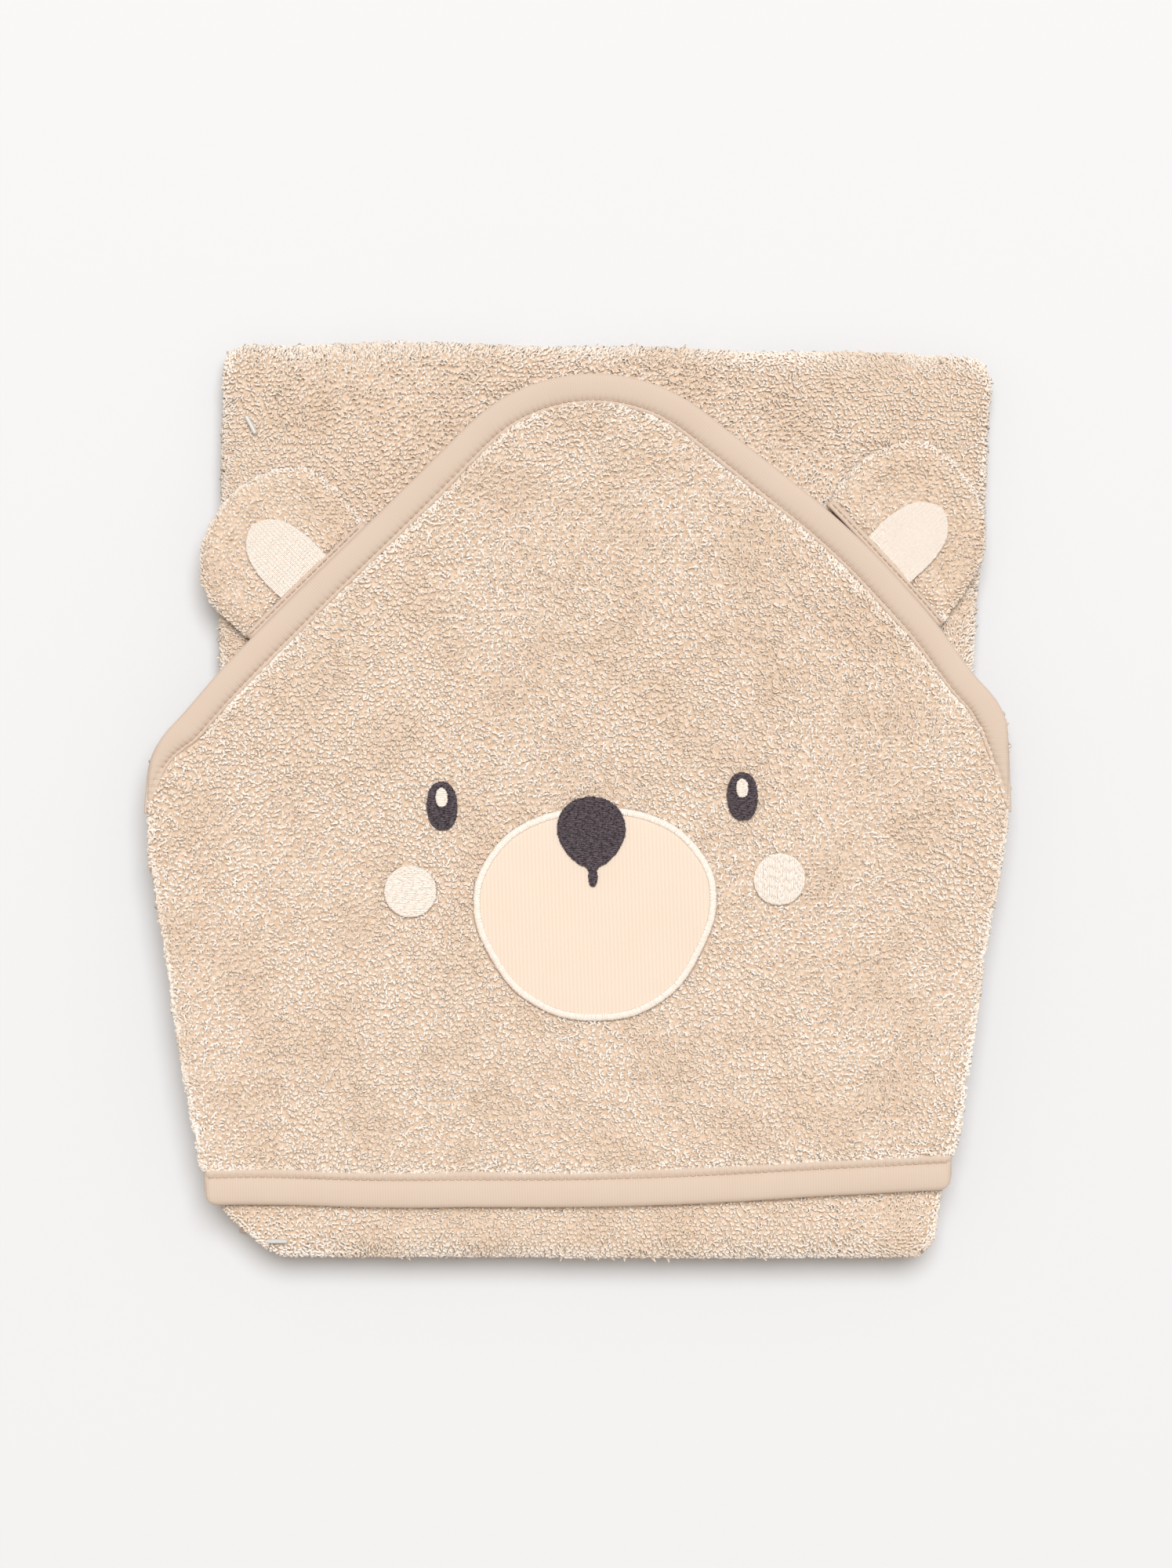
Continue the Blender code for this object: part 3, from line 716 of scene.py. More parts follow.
@dataclass(frozen=True)
class Nudge:
    """A gentle pull on the cloth round one place, in mm."""

    x: float
    y: float
    dx: float
    dy: float
    reach: float

    def shift(self, places: np.ndarray) -> np.ndarray:
        """Returns how far the pull moves each place, in metres across and up the towel."""
        away = ((places[:, 0] / MM - self.x) ** 2 + (places[:, 1] / MM - self.y) ** 2) / self.reach**2
        return np.exp(-away)[:, None] * np.array([self.dx, self.dy]) * MM


EDGE_NUDGES = (
    Nudge(138, 42, -2.4, -2.4, 20),
    Nudge(-141, 27, 1.3, -1.3, 20),
    Nudge(-134, -82, -0.6, 0, 32),
    Nudge(-128, -122, 0.2, 0, 24),
    Nudge(129, -135, -0.9, 0, 20),
    Nudge(136, -66, -1.7, 0, 42),
)
HEM_NUDGES = (Nudge(-128, -138, 0, 3.6, 62), Nudge(128, -138, 0, 3.4, 62))
STACK_NUDGES = (
    Nudge(-50, 157, 0, 3.2, 38),
    Nudge(20, 157, 0, 3.0, 42),
    Nudge(95, 157, 0, 2.0, 45),
    Nudge(-122, 100, -1.8, 0, 60),
    Nudge(-121, 45, -2.0, 0, 40),
    Nudge(141, 100, 1.5, 0, 60),
    Nudge(-122, 156, -1.4, 1.4, 11),
    Nudge(141, 152, 1.2, 1.2, 11),
)


class Billow:
    """The soft rise and fall of folded cloth, the same for every ply of the stack."""

    def __init__(self, top: float, nudges: tuple[Nudge, ...]) -> None:
        """Draws the waves.

        Args:
            top: the height at which they are full.
            nudges: pulls on the cloth's edges.
        """
        rng = np.random.default_rng(11)
        self.top = top
        self.nudges = nudges
        count = 7
        self.length = rng.uniform(0.045, 0.14, count)
        self.angle = rng.uniform(0, np.pi, count)
        self.phase = rng.uniform(0, 2 * np.pi, (3, count))
        self.size = 0.13 * MM * self.length / 0.09

    def field(self, places: np.ndarray, row: int) -> np.ndarray:
        """Returns one component of the waves at these places, in metres."""
        along = places[:, :1] * np.cos(self.angle) + places[:, 1:2] * np.sin(self.angle)
        return (np.sin(along * 2 * np.pi / self.length + self.phase[row]) * self.size).sum(axis=1)

    def lay(self, places: np.ndarray) -> np.ndarray:
        """Moves places with the cloth: up and down with their height, and a little sideways."""
        moved = places.copy()
        share = np.clip(places[:, 2] / self.top, 0, 1)
        moved[:, 0] += self.field(places, 1) * 0.8
        moved[:, 1] += self.field(places, 2) * 0.8
        moved[:, 2] += self.field(places, 0) * share
        for nudge in self.nudges:
            moved[:, :2] += nudge.shift(places)
        return moved


# ---------------------------------------------------------------- terry


@dataclass
class TerryPile:
    """Cotton loops standing on a cloth, each an arch of yarn that leans over and curls."""

    yarn: bpy.types.Material
    width: float = 0.9 * MM
    height: float = 1.35 * MM
    radius: float = 0.40 * MM
    spread: float = 0.3
    rng: np.random.Generator = field(default_factory=lambda: np.random.default_rng(5))

    def flow(self, places: np.ndarray) -> np.ndarray:
        """Returns the way that the pile lies over at these places, as an angle that drifts slowly."""
        x, y = places[:, 0] / 0.05, places[:, 1] / 0.05
        broad = 2.2 * np.sin(x + 0.7 * y) + 1.7 * np.sin(1.3 * y - 0.6 * x + 1.0)
        return broad + 0.9 * np.sin(2.3 * x + 1.9 * y)

    def roots(self, base: bpy.types.Object, density: Density) -> tuple[np.ndarray, np.ndarray]:
        """Spreads the roots of the loops over a mesh of quads.

        Args:
            base: the cloth.
            density: how many rows stand on each cell.

        Returns:
            Places and normals.
        """
        mesh = base.data
        verts = places_of(base)
        normals = np.empty(len(mesh.vertices) * 3)
        mesh.vertices.foreach_get("normal", normals)
        normals = normals.reshape(-1, 3)
        quads = np.array([tuple(face.vertices) for face in mesh.polygons if len(face.vertices) == 4])
        rows = density.value
        found, ways = [], []
        for i in range(rows):
            for j in range(rows):
                jitter = self.rng.uniform(-0.5, 0.5, (len(quads), 2)) * 0.55 / rows
                u = ((i + 0.25 + 0.5 * (j % 2)) / rows + jitter[:, 0])[:, None]
                v = ((j + 0.5) / rows + jitter[:, 1])[:, None]
                weights = [(1 - u) * (1 - v), u * (1 - v), u * v, (1 - u) * v]
                found.append(sum(weight * verts[quads[:, k]] for k, weight in enumerate(weights)))
                ways.append(sum(weight * normals[quads[:, k]] for k, weight in enumerate(weights)))
        way = np.vstack(ways)
        return np.vstack(found), way / np.maximum(np.linalg.norm(way, axis=1, keepdims=True), 1e-9)

    def loops(
        self, places: np.ndarray, normals: np.ndarray, scale: float, steps: int, scatter: float
    ) -> tuple[np.ndarray, np.ndarray, np.ndarray]:
        """Shapes a loop at each root.

        Args:
            places: the roots.
            normals: the way out of the cloth there.
            scale: the loops' size, with 1 as full.
            steps: how many straight pieces stand for each loop.
            scatter: how far the loops' ways differ, in radians.

        Returns:
            Vertices, quads, and how far up its loop each vertex is, from 0 to 1.
        """
        count, rng = len(places), self.rng
        lie = self.flow(places) + rng.normal(0, scatter, count)
        ahead = np.stack([np.cos(lie), np.sin(lie), np.zeros(count)], axis=1)
        ahead -= normals * (ahead * normals).sum(axis=1, keepdims=True)
        short = np.linalg.norm(ahead, axis=1) < 0.2
        ahead[short] = np.cross(normals[short], (0, 0, 1.0)) + (0, 0, 1e-6)
        ahead /= np.linalg.norm(ahead, axis=1, keepdims=True)
        aside = np.cross(normals, ahead)
        size = scale * rng.uniform(0.8, 1.25, count)
        lean = rng.normal(0.95, self.spread, count).clip(0.1, 1.7)
        curl = rng.normal(0, 0.35, count)
        turn = np.linspace(0.04, 0.96, steps + 1) * np.pi
        arch = -0.5 * np.cos(turn) * (0.65 + 0.55 * np.sin(turn))
        x = self.width * size[:, None] * arch
        z = self.height * size[:, None] * (np.sin(turn) - 0.12) / np.sqrt(1 + 0.5 * lean[:, None] ** 2)
        y = z * lean[:, None] + self.width * curl[:, None] * np.sin(2 * turn) * size[:, None]
        paths = (
            places[:, None, :]
            + aside[:, None, :] * x[:, :, None]
            + ahead[:, None, :] * y[:, :, None]
            + normals[:, None, :] * z[:, :, None]
        )
        radius = self.radius * (0.5 + 0.5 * scale)
        verts, faces = tubes(paths, radius, radius, ahead, 3)
        return verts, faces, np.tile(np.repeat(np.sin(turn), 3), count)

    def cover(
        self,
        name: str,
        base: bpy.types.Object,
        wanted: Callable[[np.ndarray, np.ndarray], np.ndarray],
        density: Density = Density.FINE,
        scale: float = 1.0,
        steps: int = 4,
        scatter: float = 0.75,
        share: float = 1.0,
    ) -> list[bpy.types.Object]:
        """Covers a cloth with loops.

        Args:
            name: what the pieces are named for.
            base: the cloth.
            wanted: says which roots to keep, from places and normals.
            density: how close the loops stand.
            scale: their size.
            steps: straight pieces in each.
            scatter: how far the loops' ways differ, in radians.
            share: how much of the loops to keep, where few are enough.

        Returns:
            The pile's pieces.
        """
        places, normals = self.roots(base, density)
        keep = wanted(places, normals) & (self.rng.random(len(places)) < share)
        places, normals = places[keep], normals[keep]
        order = np.argsort(places[:, 1], kind="stable")
        pieces = []
        for number, part in enumerate(np.array_split(order, max(1, math.ceil(len(order) / PIECE_LOOPS)))):
            verts, faces, rise = self.loops(places[part], normals[part], scale, steps, scatter)
            piece = mesh_piece(f"{name}_{number + 1}", verts, faces, self.yarn)
            layer = piece.data.attributes.new(PAINTED_SHADE_RISE, "FLOAT", "POINT")
            layer.data.foreach_set("value", rise.astype(np.float32))
            flat_map(piece)
            pieces.append(piece)
        LOG.info("%s: %d loops in %d pieces", name, len(places), len(pieces))
        return pieces


def pull_up(piece: bpy.types.Object, low: float, times: float) -> None:
    """Stretches a mesh this many times upwards from a height."""
    places = places_of(piece)
    places[:, 2] = low + (places[:, 2] - low) * times
    set_places(piece, places)


def remeshed(
    piece: bpy.types.Object, cell: float, insets: tuple[float, float, float], stretch: float = 1.0
) -> None:
    """Draws a closed form in and gives it an even mesh.

    Args:
        piece: the form.
        cell: the mesh's cell.
        insets: how far its faces move in across the towel, up it, and through its thickness.
        stretch: how many times its height it has while the mesh is made, so that a thin form keeps both
            faces.
    """
    low = places_of(piece)[:, 2].min()
    pull_up(piece, low, stretch)
    bpy.ops.object.select_all(action="DESELECT")
    piece.select_set(True)
    bpy.context.view_layer.objects.active = piece
    remesh = piece.modifiers.new("even", "REMESH")
    remesh.mode = "VOXEL"
    remesh.voxel_size = cell
    bpy.ops.object.modifier_apply(modifier=remesh.name)
    bpy.ops.object.mode_set(mode="EDIT")
    bpy.ops.mesh.select_all(action="SELECT")
    bpy.ops.mesh.vertices_smooth(factor=0.5, repeat=2)
    bpy.ops.object.mode_set(mode="OBJECT")
    pull_up(piece, low, 1 / stretch)
    normals = np.empty(len(piece.data.vertices) * 3)
    piece.data.vertices.foreach_get("normal", normals)
    set_places(piece, places_of(piece) - normals.reshape(-1, 3) * np.array(insets))
    piece.data.shade_smooth()


@dataclass
class TowelSection:
    """One length of the folded towel: its ground cloth and the pile that shows."""

    node: str
    body: str
    frame: Frame
    billow: Billow
    ground: bpy.types.Material
    pile: TerryPile
    cell: float = 3.0 * MM
    inset: float = 1.1 * MM

    def build(self, hidden: np.ndarray, hidden_margin: float, tape: Tape | None) -> bpy.types.Object:
        """Builds the ground and its pile.

        Args:
            hidden: the outline of what lies on this section.
            hidden_margin: how far the pile runs in under it.
            tape: the binding along this section's edge, which has no pile.

        Returns:
            The ground.
        """
        base = self.frame.mesh_copy(f"{self.node}_ground", self.node)
        remeshed(base, self.cell, (0.5 * MM, 0.3 * MM, self.inset), 1.6)
        set_places(base, self.billow.lay(places_of(base)))
        base.data.materials.append(self.ground)
        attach(base, self.body)
        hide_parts(self.node)

        def seen(places: np.ndarray, normals: np.ndarray) -> np.ndarray:
            """Keeps the loops on the top that nothing covers, and on the edges."""
            shown = normals[:, 2] > -0.35
            shown &= ~(inside(hidden, places[:, :2], hidden_margin) & (normals[:, 2] > 0.3))
            return shown if tape is None else shown & ~tape.hides(places)

        def turned_over(places: np.ndarray, normals: np.ndarray) -> np.ndarray:
            """Keeps the loops that only show when the towel is opened or turned over."""
            return ~seen(places, normals)

        top = self.pile.cover(f"{self.node}_pile", base, seen, steps=3, scatter=0.45)
        back = self.pile.cover(f"{self.node}_back_pile", base, turned_over, Density.COARSE, 1.8, 2, share=0.5)
        for piece in top + back:
            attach(piece, self.body)
        return base


@dataclass
class Hood:
    """The doubled hood ply: one cloth that lies over the towel and lifts at its hem."""

    frame: Frame
    billow: Billow
    ground: bpy.types.Material
    pile: TerryPile
    cell: float = 3.0 * MM
    inset: float = 0.8 * MM
    bend_from: tuple[float, float, float] = (0.0, 0.034, 0.026)
    bend_to: tuple[float, float, float] = (0.0, 0.012, 0.026)

    def bend(self, piece: bpy.types.Object) -> None:
        """Bakes a piece's placement into its mesh."""
        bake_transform(piece)

    def relief(self, places: np.ndarray) -> np.ndarray:
        """Returns the hood's own soft creases at these places, in metres."""
        x, y = places[:, 0], places[:, 1]
        low = np.exp(-(((y + 0.098) / 0.022) ** 2))
        crease = 0.35 * MM * low * np.sin(2 * np.pi * (y + 0.05 * x) / 0.013 + 1.5 * np.sin(x / 0.03))
        broad = 0.3 * MM * np.sin(x / 0.021 + 1.3 * np.sin(y / 0.034)) * np.sin(y / 0.026 + x / 0.05)
        return crease + broad

    def build(self, clear_of: list[np.ndarray], tape: Tape) -> bpy.types.Object:
        """Builds the hood's ground and pile.

        Args:
            clear_of: outlines of the embroidery, under which no pile shows.
            tape: the binding of the slopes, under which none shows either.

        Returns:
            The ground.
        """
        base = self.frame.mesh_copy("hood_ground", "hood_upper", "hood_lower")
        remeshed(base, self.cell, (0.9 * MM, -0.9 * MM, self.inset), 4.0)
        places = places_of(base)
        top = places[:, 2] > (self.frame.low("hood_upper") + self.frame.high("hood_upper")) / 2
        places[top, 2] += self.relief(places[top])
        set_places(base, self.billow.lay(places))
        base.data.materials.append(self.ground)
        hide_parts("hood_upper", "hood_lower")

        def on_top(places: np.ndarray, normals: np.ndarray) -> np.ndarray:
            """Keeps the loops on the face side, clear of the embroidery."""
            shown = normals[:, 2] > -0.35
            for outline in clear_of:
                shown &= ~inside(outline, places[:, :2], 0.0)
            return shown & ~tape.hides(places)

        def below(places: np.ndarray, normals: np.ndarray) -> np.ndarray:
            """Keeps the loops on the side that faces the towel."""
            return normals[:, 2] < -0.5

        for piece in self.pile.cover("hood_pile", base, on_top):
            self.bend(piece)
        for piece in self.pile.cover("hood_back_pile", base, below, Density.COARSE, 0.7, 2, share=0.6):
            self.bend(piece)
        self.bend(base)
        return base


@dataclass
class Ear:
    """One ear: two terry plies turned right side out, so plump at the rim, with an embroidered inner ear."""

    side: str
    hinge: tuple[float, float]
    outward: tuple[float, float]
    frame: Frame
    billow: Billow
    ground: bpy.types.Material
    pile: TerryPile
    cap: float = 0.9 * MM

    @property
    def body(self) -> str:
        """The body that the ear rides on."""
        return f"ear_{self.side}"

    def cloth(self) -> bpy.types.Object:
        """Models the ear: its outline filled out to both plies, then puffed with a cloth simulation."""
        front, back = f"ear_{self.side}_front", f"ear_{self.side}_back"
        base = self.frame.mesh_copy(f"ear_{self.side}_cloth", front)
        low, high = self.frame.low(back), self.frame.high(front)
        places = places_of(base)
        was = places[:, 2]
        share = (was - was.min()) / np.ptp(was)
        places[:, 2] = low + 0.9 * MM + share * (high - low - 1.8 * MM)
        set_places(base, places)
        remeshed(base, 3.0 * MM, (0.2 * MM, 0.2 * MM, 0.5 * MM), 2.0)
        before = places_of(base)
        self.puff(base)
        after = places_of(base)
        shift = after - before
        reach = np.linalg.norm(shift, axis=1, keepdims=True)
        shift *= np.minimum(1.0, self.cap / np.maximum(reach, 1e-9))
        along = (before[:, :2] - np.array(self.hinge)) @ np.array(self.outward)
        shift *= np.clip(along / 0.006, 0, 1)[:, None]
        puffed = before + shift
        puffed[:, 2] = np.clip(puffed[:, 2], low + 0.4 * MM, high - 0.3 * MM)
        rim = resampled(hull(puffed), MM, closed=True)
        deep = np.min(np.linalg.norm(puffed[:, None, :2] - rim[None], axis=2), axis=1) / MM
        upper = puffed[:, 2] > (low + high) / 2
        roll = 0.75 * np.exp(-(((deep - 4.5) / 2.6) ** 2)) - 0.7 * np.exp(-(((deep - 9.5) / 2.2) ** 2))
        puffed[:, 2] += upper * roll * MM * np.clip(along / 0.012, 0, 1)
        set_places(base, self.billow.lay(puffed))
        base.data.materials.append(self.ground)
        return base

    def puff(self, base: bpy.types.Object) -> None:
        """Fills the ear with air in a cloth simulation and keeps the form."""
        cloth = base.modifiers.new("fill", "CLOTH")
        cloth.settings.use_pressure = True
        cloth.settings.uniform_pressure_force = 4.0
        cloth.settings.effector_weights.gravity = 0.0
        cloth.settings.tension_stiffness = 20.0
        cloth.settings.compression_stiffness = 20.0
        cloth.point_cache.frame_start = 1
        cloth.point_cache.frame_end = 16
        for frame in range(1, 17):
            bpy.context.scene.frame_set(frame)
        bpy.ops.object.select_all(action="DESELECT")
        base.select_set(True)
        bpy.context.view_layer.objects.active = base
        bpy.ops.object.modifier_apply(modifier=cloth.name)
        bpy.context.scene.frame_set(1)

    def build(self) -> bpy.types.Object:
        """Builds the ear's cloth and pile, and returns the cloth."""
        base = self.cloth()
        outline = self.frame.outline(f"inner_ear_{self.side}")
        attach(base, self.body)
        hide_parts(f"ear_{self.side}_front", f"ear_{self.side}_back")

        def in_front(places: np.ndarray, normals: np.ndarray) -> np.ndarray:
            """Keeps the loops on the front and the rim, clear of the inner ear."""
            along = (places[:, :2] - np.array(self.hinge)) @ np.array(self.outward)
            return (normals[:, 2] > -0.3) & ~inside(outline, places[:, :2], 0.0) & (along > 1.0 * MM)

        def behind(places: np.ndarray, normals: np.ndarray) -> np.ndarray:
            """Keeps the loops on the back."""
            return normals[:, 2] <= -0.3

        pieces = self.pile.cover(f"ear_{self.side}_pile", base, in_front, Density.FINE, 0.82)
        pieces += self.pile.cover(f"ear_{self.side}_back_pile", base, behind, Density.COARSE, 0.8, 3)
        for piece in pieces:
            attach(piece, self.body)
        return base


# ---------------------------------------------------------------- bindings


@dataclass(frozen=True)
class TapeProfile:
    """A folded tape's section, as places in from its outer edge and up from its foot, in mm."""

    rows: tuple[tuple[float, float], ...]
    stitch_in: float
    pucker: float = 0.7 * MM
    pitch: float = 2.5 * MM


HOOD_TAPE = TapeProfile(
    rows=(
        (0.9, 0.1), (0.3, 0.6), (0.0, 1.4), (0.15, 2.3), (0.7, 3.0), (1.7, 3.45), (3.2, 3.65), (5.0, 3.65),
        (6.8, 3.5), (8.2, 3.15), (8.9, 2.75), (9.3, 2.45), (9.7, 2.75), (10.3, 2.9), (10.8, 2.6), (11.0, 1.8),
        (10.8, 0.3),
    ),
    stitch_in=9.3,
)
HEM_TAPE = TapeProfile(
    rows=(
        (0.9, 0.1), (0.3, 0.6), (0.0, 1.4), (0.15, 2.3), (0.7, 3.05), (1.8, 3.5), (3.6, 3.7), (5.6, 3.7),
        (7.6, 3.5), (8.8, 3.1), (9.4, 2.7), (9.7, 2.45), (10.1, 2.75), (10.9, 3.05), (11.8, 2.95),
        (12.35, 2.4), (12.5, 1.6), (12.3, 0.3),
    ),
    stitch_in=9.7,
)
END_TAPE = TapeProfile(
    rows=(
        (1.2, 0.1), (0.3, 0.9), (0.0, 2.2), (0.0, 4.0), (0.4, 5.3), (1.5, 6.1), (4.0, 6.2), (8.4, 6.1),
        (9.3, 5.8), (10.1, 6.0), (10.8, 5.6), (11.0, 4.0), (11.0, 2.0), (10.5, 0.4),
    ),
    stitch_in=9.3,
)


@dataclass
class Tape:
    """A jersey binding along a line, with its row of lockstitch."""

    name: str
    line: np.ndarray
    foot: float
    profile: TapeProfile
    jersey: bpy.types.Material
    thread: bpy.types.Material
    billow: Billow
    tuck: float = 0.0
    end_round: float = 2.4 * MM
    corner: float = 0.0

    def ends(self, along: np.ndarray, reach: float) -> np.ndarray:
        """Returns how far a round end of this reach has closed, from 1 at the ends to 0 beyond it."""
        left = np.clip(np.minimum(along, along[-1] - along) / reach, 0, 1)
        return 1 - np.sqrt(np.clip(1 - (1 - left) ** 2, 0, 1))

    def turned_under(self, along: np.ndarray) -> np.ndarray:
        """Returns how much of the tape's width has gone round the side fold, at each place along it."""
        if not self.tuck:
            return np.zeros(len(along))
        left = np.minimum(along, along[-1] - along)
        share = np.clip(1 - left / self.tuck, 0, 1)
        return share**1.3 * self.profile.rows[-1][0] * MM * 1.02

    def hides(self, places: np.ndarray) -> np.ndarray:
        """Says which places lie under the tape."""
        under = np.zeros(len(places), dtype=bool)
        width = self.profile.rows[-1][0] * MM - self.turned_under(self.reach())
        line = self.billow.lay(np.column_stack([self.line, np.full(len(self.line), self.foot)]))[:, :2]
        for start in range(0, len(places), 2000):
            part = places[start : start + 2000, None, :2] - line[None]
            far = np.linalg.norm(part, axis=2)
            nearest = far.argmin(axis=1)
            rows = np.arange(len(nearest))
            under[start : start + 2000] = far[rows, nearest] < width[nearest] - 0.3 * MM
        return under

    def ways(self) -> np.ndarray:
        """Returns the way in from the outer edge, at each place on the line."""
        return normals_of(self.line)

    def wobble(self, along: np.ndarray) -> np.ndarray:
        """Returns how hand sewing lets the tape swell and narrow along its length, as a share."""
        waves = ((0.5, 0.0113, 0.0), (0.3, 0.0047, 1.0), (0.2, 0.027, 2.0))
        return sum(size * np.sin(along / length + start) for size, length, start in waves)

    def reach(self) -> np.ndarray:
        """Returns how far along the line each of its places is."""
        return np.concatenate([[0.0], np.cumsum(np.linalg.norm(np.diff(self.line, axis=0), axis=1))])

    def build(self, *nodes: str) -> list[bpy.types.Object]:
        """Builds the tape and its stitches in place of CAD nodes.

        Args:
            nodes: the nodes that these stand for: the tape's, and then its seam's.

        Returns:
            The tape and the stitches.
        """
        tape, stitches = self.build_loose()
        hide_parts(nodes[0])
        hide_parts(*nodes[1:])
        return [tape, stitches]

    def build_loose(self) -> list[bpy.types.Object]:
        """Builds the tape and its stitches, and returns them."""
        rows = np.array(self.profile.rows) * MM
        along, ways = self.reach(), self.ways()
        near = np.exp(-(((rows[:, 0] - self.profile.stitch_in * MM) / (0.9 * MM)) ** 2)) * (rows[:, 1] > MM)
        beat = np.clip(np.cos(2 * np.pi * (along / self.profile.pitch - 0.5)), 0, 1) ** 3
        ripple = np.random.default_rng(3).normal(0, 1, len(along))
        ripple = np.convolve(ripple, np.ones(5) / 5, mode="same")
        inner = (rows[:, 0] > self.profile.stitch_in * MM).astype(float)
        places = np.empty((len(along), len(rows), 3))
        shift = (self.wobble(along) * 0.25 + ripple * 0.12) * MM
        across = rows[None, :, 0] + shift[:, None] * (0.35 + 0.65 * inner)[None]
        across = across - self.turned_under(along)[:, None]
        if self.corner:
            least = self.corner * self.ends(along, self.corner)
            across = np.maximum(across, least[:, None] + 0.15 * rows[:, 0])
        over = np.clip(0.4 * MM - across, 0, None) * (self.tuck > 0)
        across = across + over * 0.85
        places[:, :, :2] = self.line[:, None, :] + ways[:, None, :] * across[:, :, None]
        up = rows[None, :, 1] - self.profile.pucker * beat[:, None] * near[None]
        up = up + 0.1 * MM * self.wobble(along + 0.01)[:, None] * (rows[None, :, 1] > 2 * MM)
        up = np.maximum(up - np.clip(over, 0, 2.6 * MM), np.minimum(up, 0.1 * MM))
        if not self.tuck:
            up = up * (1 - 0.85 * self.ends(along, self.end_round))[:, None]
        places[:, :, 2] = self.foot + up
        count, sides = len(along), len(rows)
        step, turn = np.meshgrid(np.arange(count - 1), np.arange(sides), indexing="ij")
        after = (turn + 1) % sides
        faces = np.stack(
            [
                step * sides + turn,
                (step + 1) * sides + turn,
                (step + 1) * sides + after,
                step * sides + after,
            ],
            axis=-1,
        ).reshape(-1, 4)
        ends = [list(range(sides)), list(range(count * sides - 1, (count - 1) * sides - 1, -1))]
        verts = self.billow.lay(places.reshape(-1, 3))
        tape = mesh_piece(self.name, verts, faces.tolist() + ends, self.jersey)
        girth = np.concatenate([[0.0], np.cumsum(np.linalg.norm(np.diff(rows, axis=0), axis=1))]) / MM
        layer = tape.data.uv_layers.new(name=TAPE_MAP)
        corners = np.empty(len(tape.data.loops), dtype=np.int32)
        tape.data.loops.foreach_get("vertex_index", corners)
        plan = np.stack([np.repeat(along / MM, sides), np.tile(girth, count)], axis=1)
        layer.data.foreach_set("uv", plan[corners].astype(np.float32).ravel())
        stitches = self.stitches(along, ways)
        return [tape, stitches]

    def stitches(self, along: np.ndarray, ways: np.ndarray) -> bpy.types.Object:
        """Builds the lockstitch: short lengths of thread that dip at each needle hole."""
        pitch, inset = self.profile.pitch, self.profile.stitch_in * MM
        height = np.interp(inset, *(np.array(self.profile.rows[6:13]).T * MM)) + 0.12 * MM
        starts = np.arange(pitch * 0.5 + self.tuck * 0.42, along[-1] - pitch * 1.2 - self.tuck * 0.42, pitch)
        share = np.array([0.0, 0.12, 0.3, 0.5, 0.7, 0.88, 1.0])
        rise = np.array([-0.45, 0.05, 0.26, 0.32, 0.26, 0.05, -0.45]) * MM
        at = starts[:, None] + share[None] * pitch * 0.78 + 0.11 * pitch
        centre = self.line + ways * (inset - self.turned_under(along))[:, None]
        paths = np.empty((len(starts), len(share), 3))
        for axis in range(2):
            paths[:, :, axis] = np.interp(at, along, centre[:, axis])
        paths[:, :, 2] = self.foot + height + rise[None]
        up = np.tile([0.0, 0.0, 1.0], (len(starts), 1))
        laid = self.billow.lay(paths.reshape(-1, 3)).reshape(paths.shape)
        verts, faces = tubes(laid, 0.24 * MM, 0.2 * MM, up, 4)
        return mesh_piece(f"{self.name}_stitches", verts, faces, self.thread)


def outer_edge(frame: Frame, low: float, step: float) -> np.ndarray:
    """Follows the hood's sloping edge from its right corner over the peak to its left corner.

    Args:
        frame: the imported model.
        low: the height up the towel at which the line ends.
        step: how far apart its places are.

    Returns:
        The line, with the hood on its left.
    """
    ring = frame.outline("hood_edge_binding", "hood_upper", "hood_lower")
    ring = resampled(ring, step, closed=True)
    start = int(np.argmin(ring[:, 1]))
    ring = np.roll(ring, -start, axis=0)
    line = ring[ring[:, 1] > low]
    return smoothed(resampled(line, step), 6)


def straight_edge(frame: Frame, node: str, step: float) -> np.ndarray:
    """Follows the lower long edge of a straight strip, from left to right.

    Args:
        frame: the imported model.
        node: the strip.
        step: how far apart the line's places are.

    Returns:
        The line, with the strip on its left.
    """
    plan = frame.points(node)[:, :2]
    middle = plan.mean(axis=0)
    _, _, axes = np.linalg.svd(plan - middle, full_matrices=False)
    along = axes[0] * np.sign(axes[0][0])
    across = np.array([-along[1], along[0]])
    reach, depth = (plan - middle) @ along, (plan - middle) @ across
    ends = [middle + along * at + across * depth.min() for at in (reach.min(), reach.max())]
    return resampled(np.array(ends), step)


# ---------------------------------------------------------------- embroidery


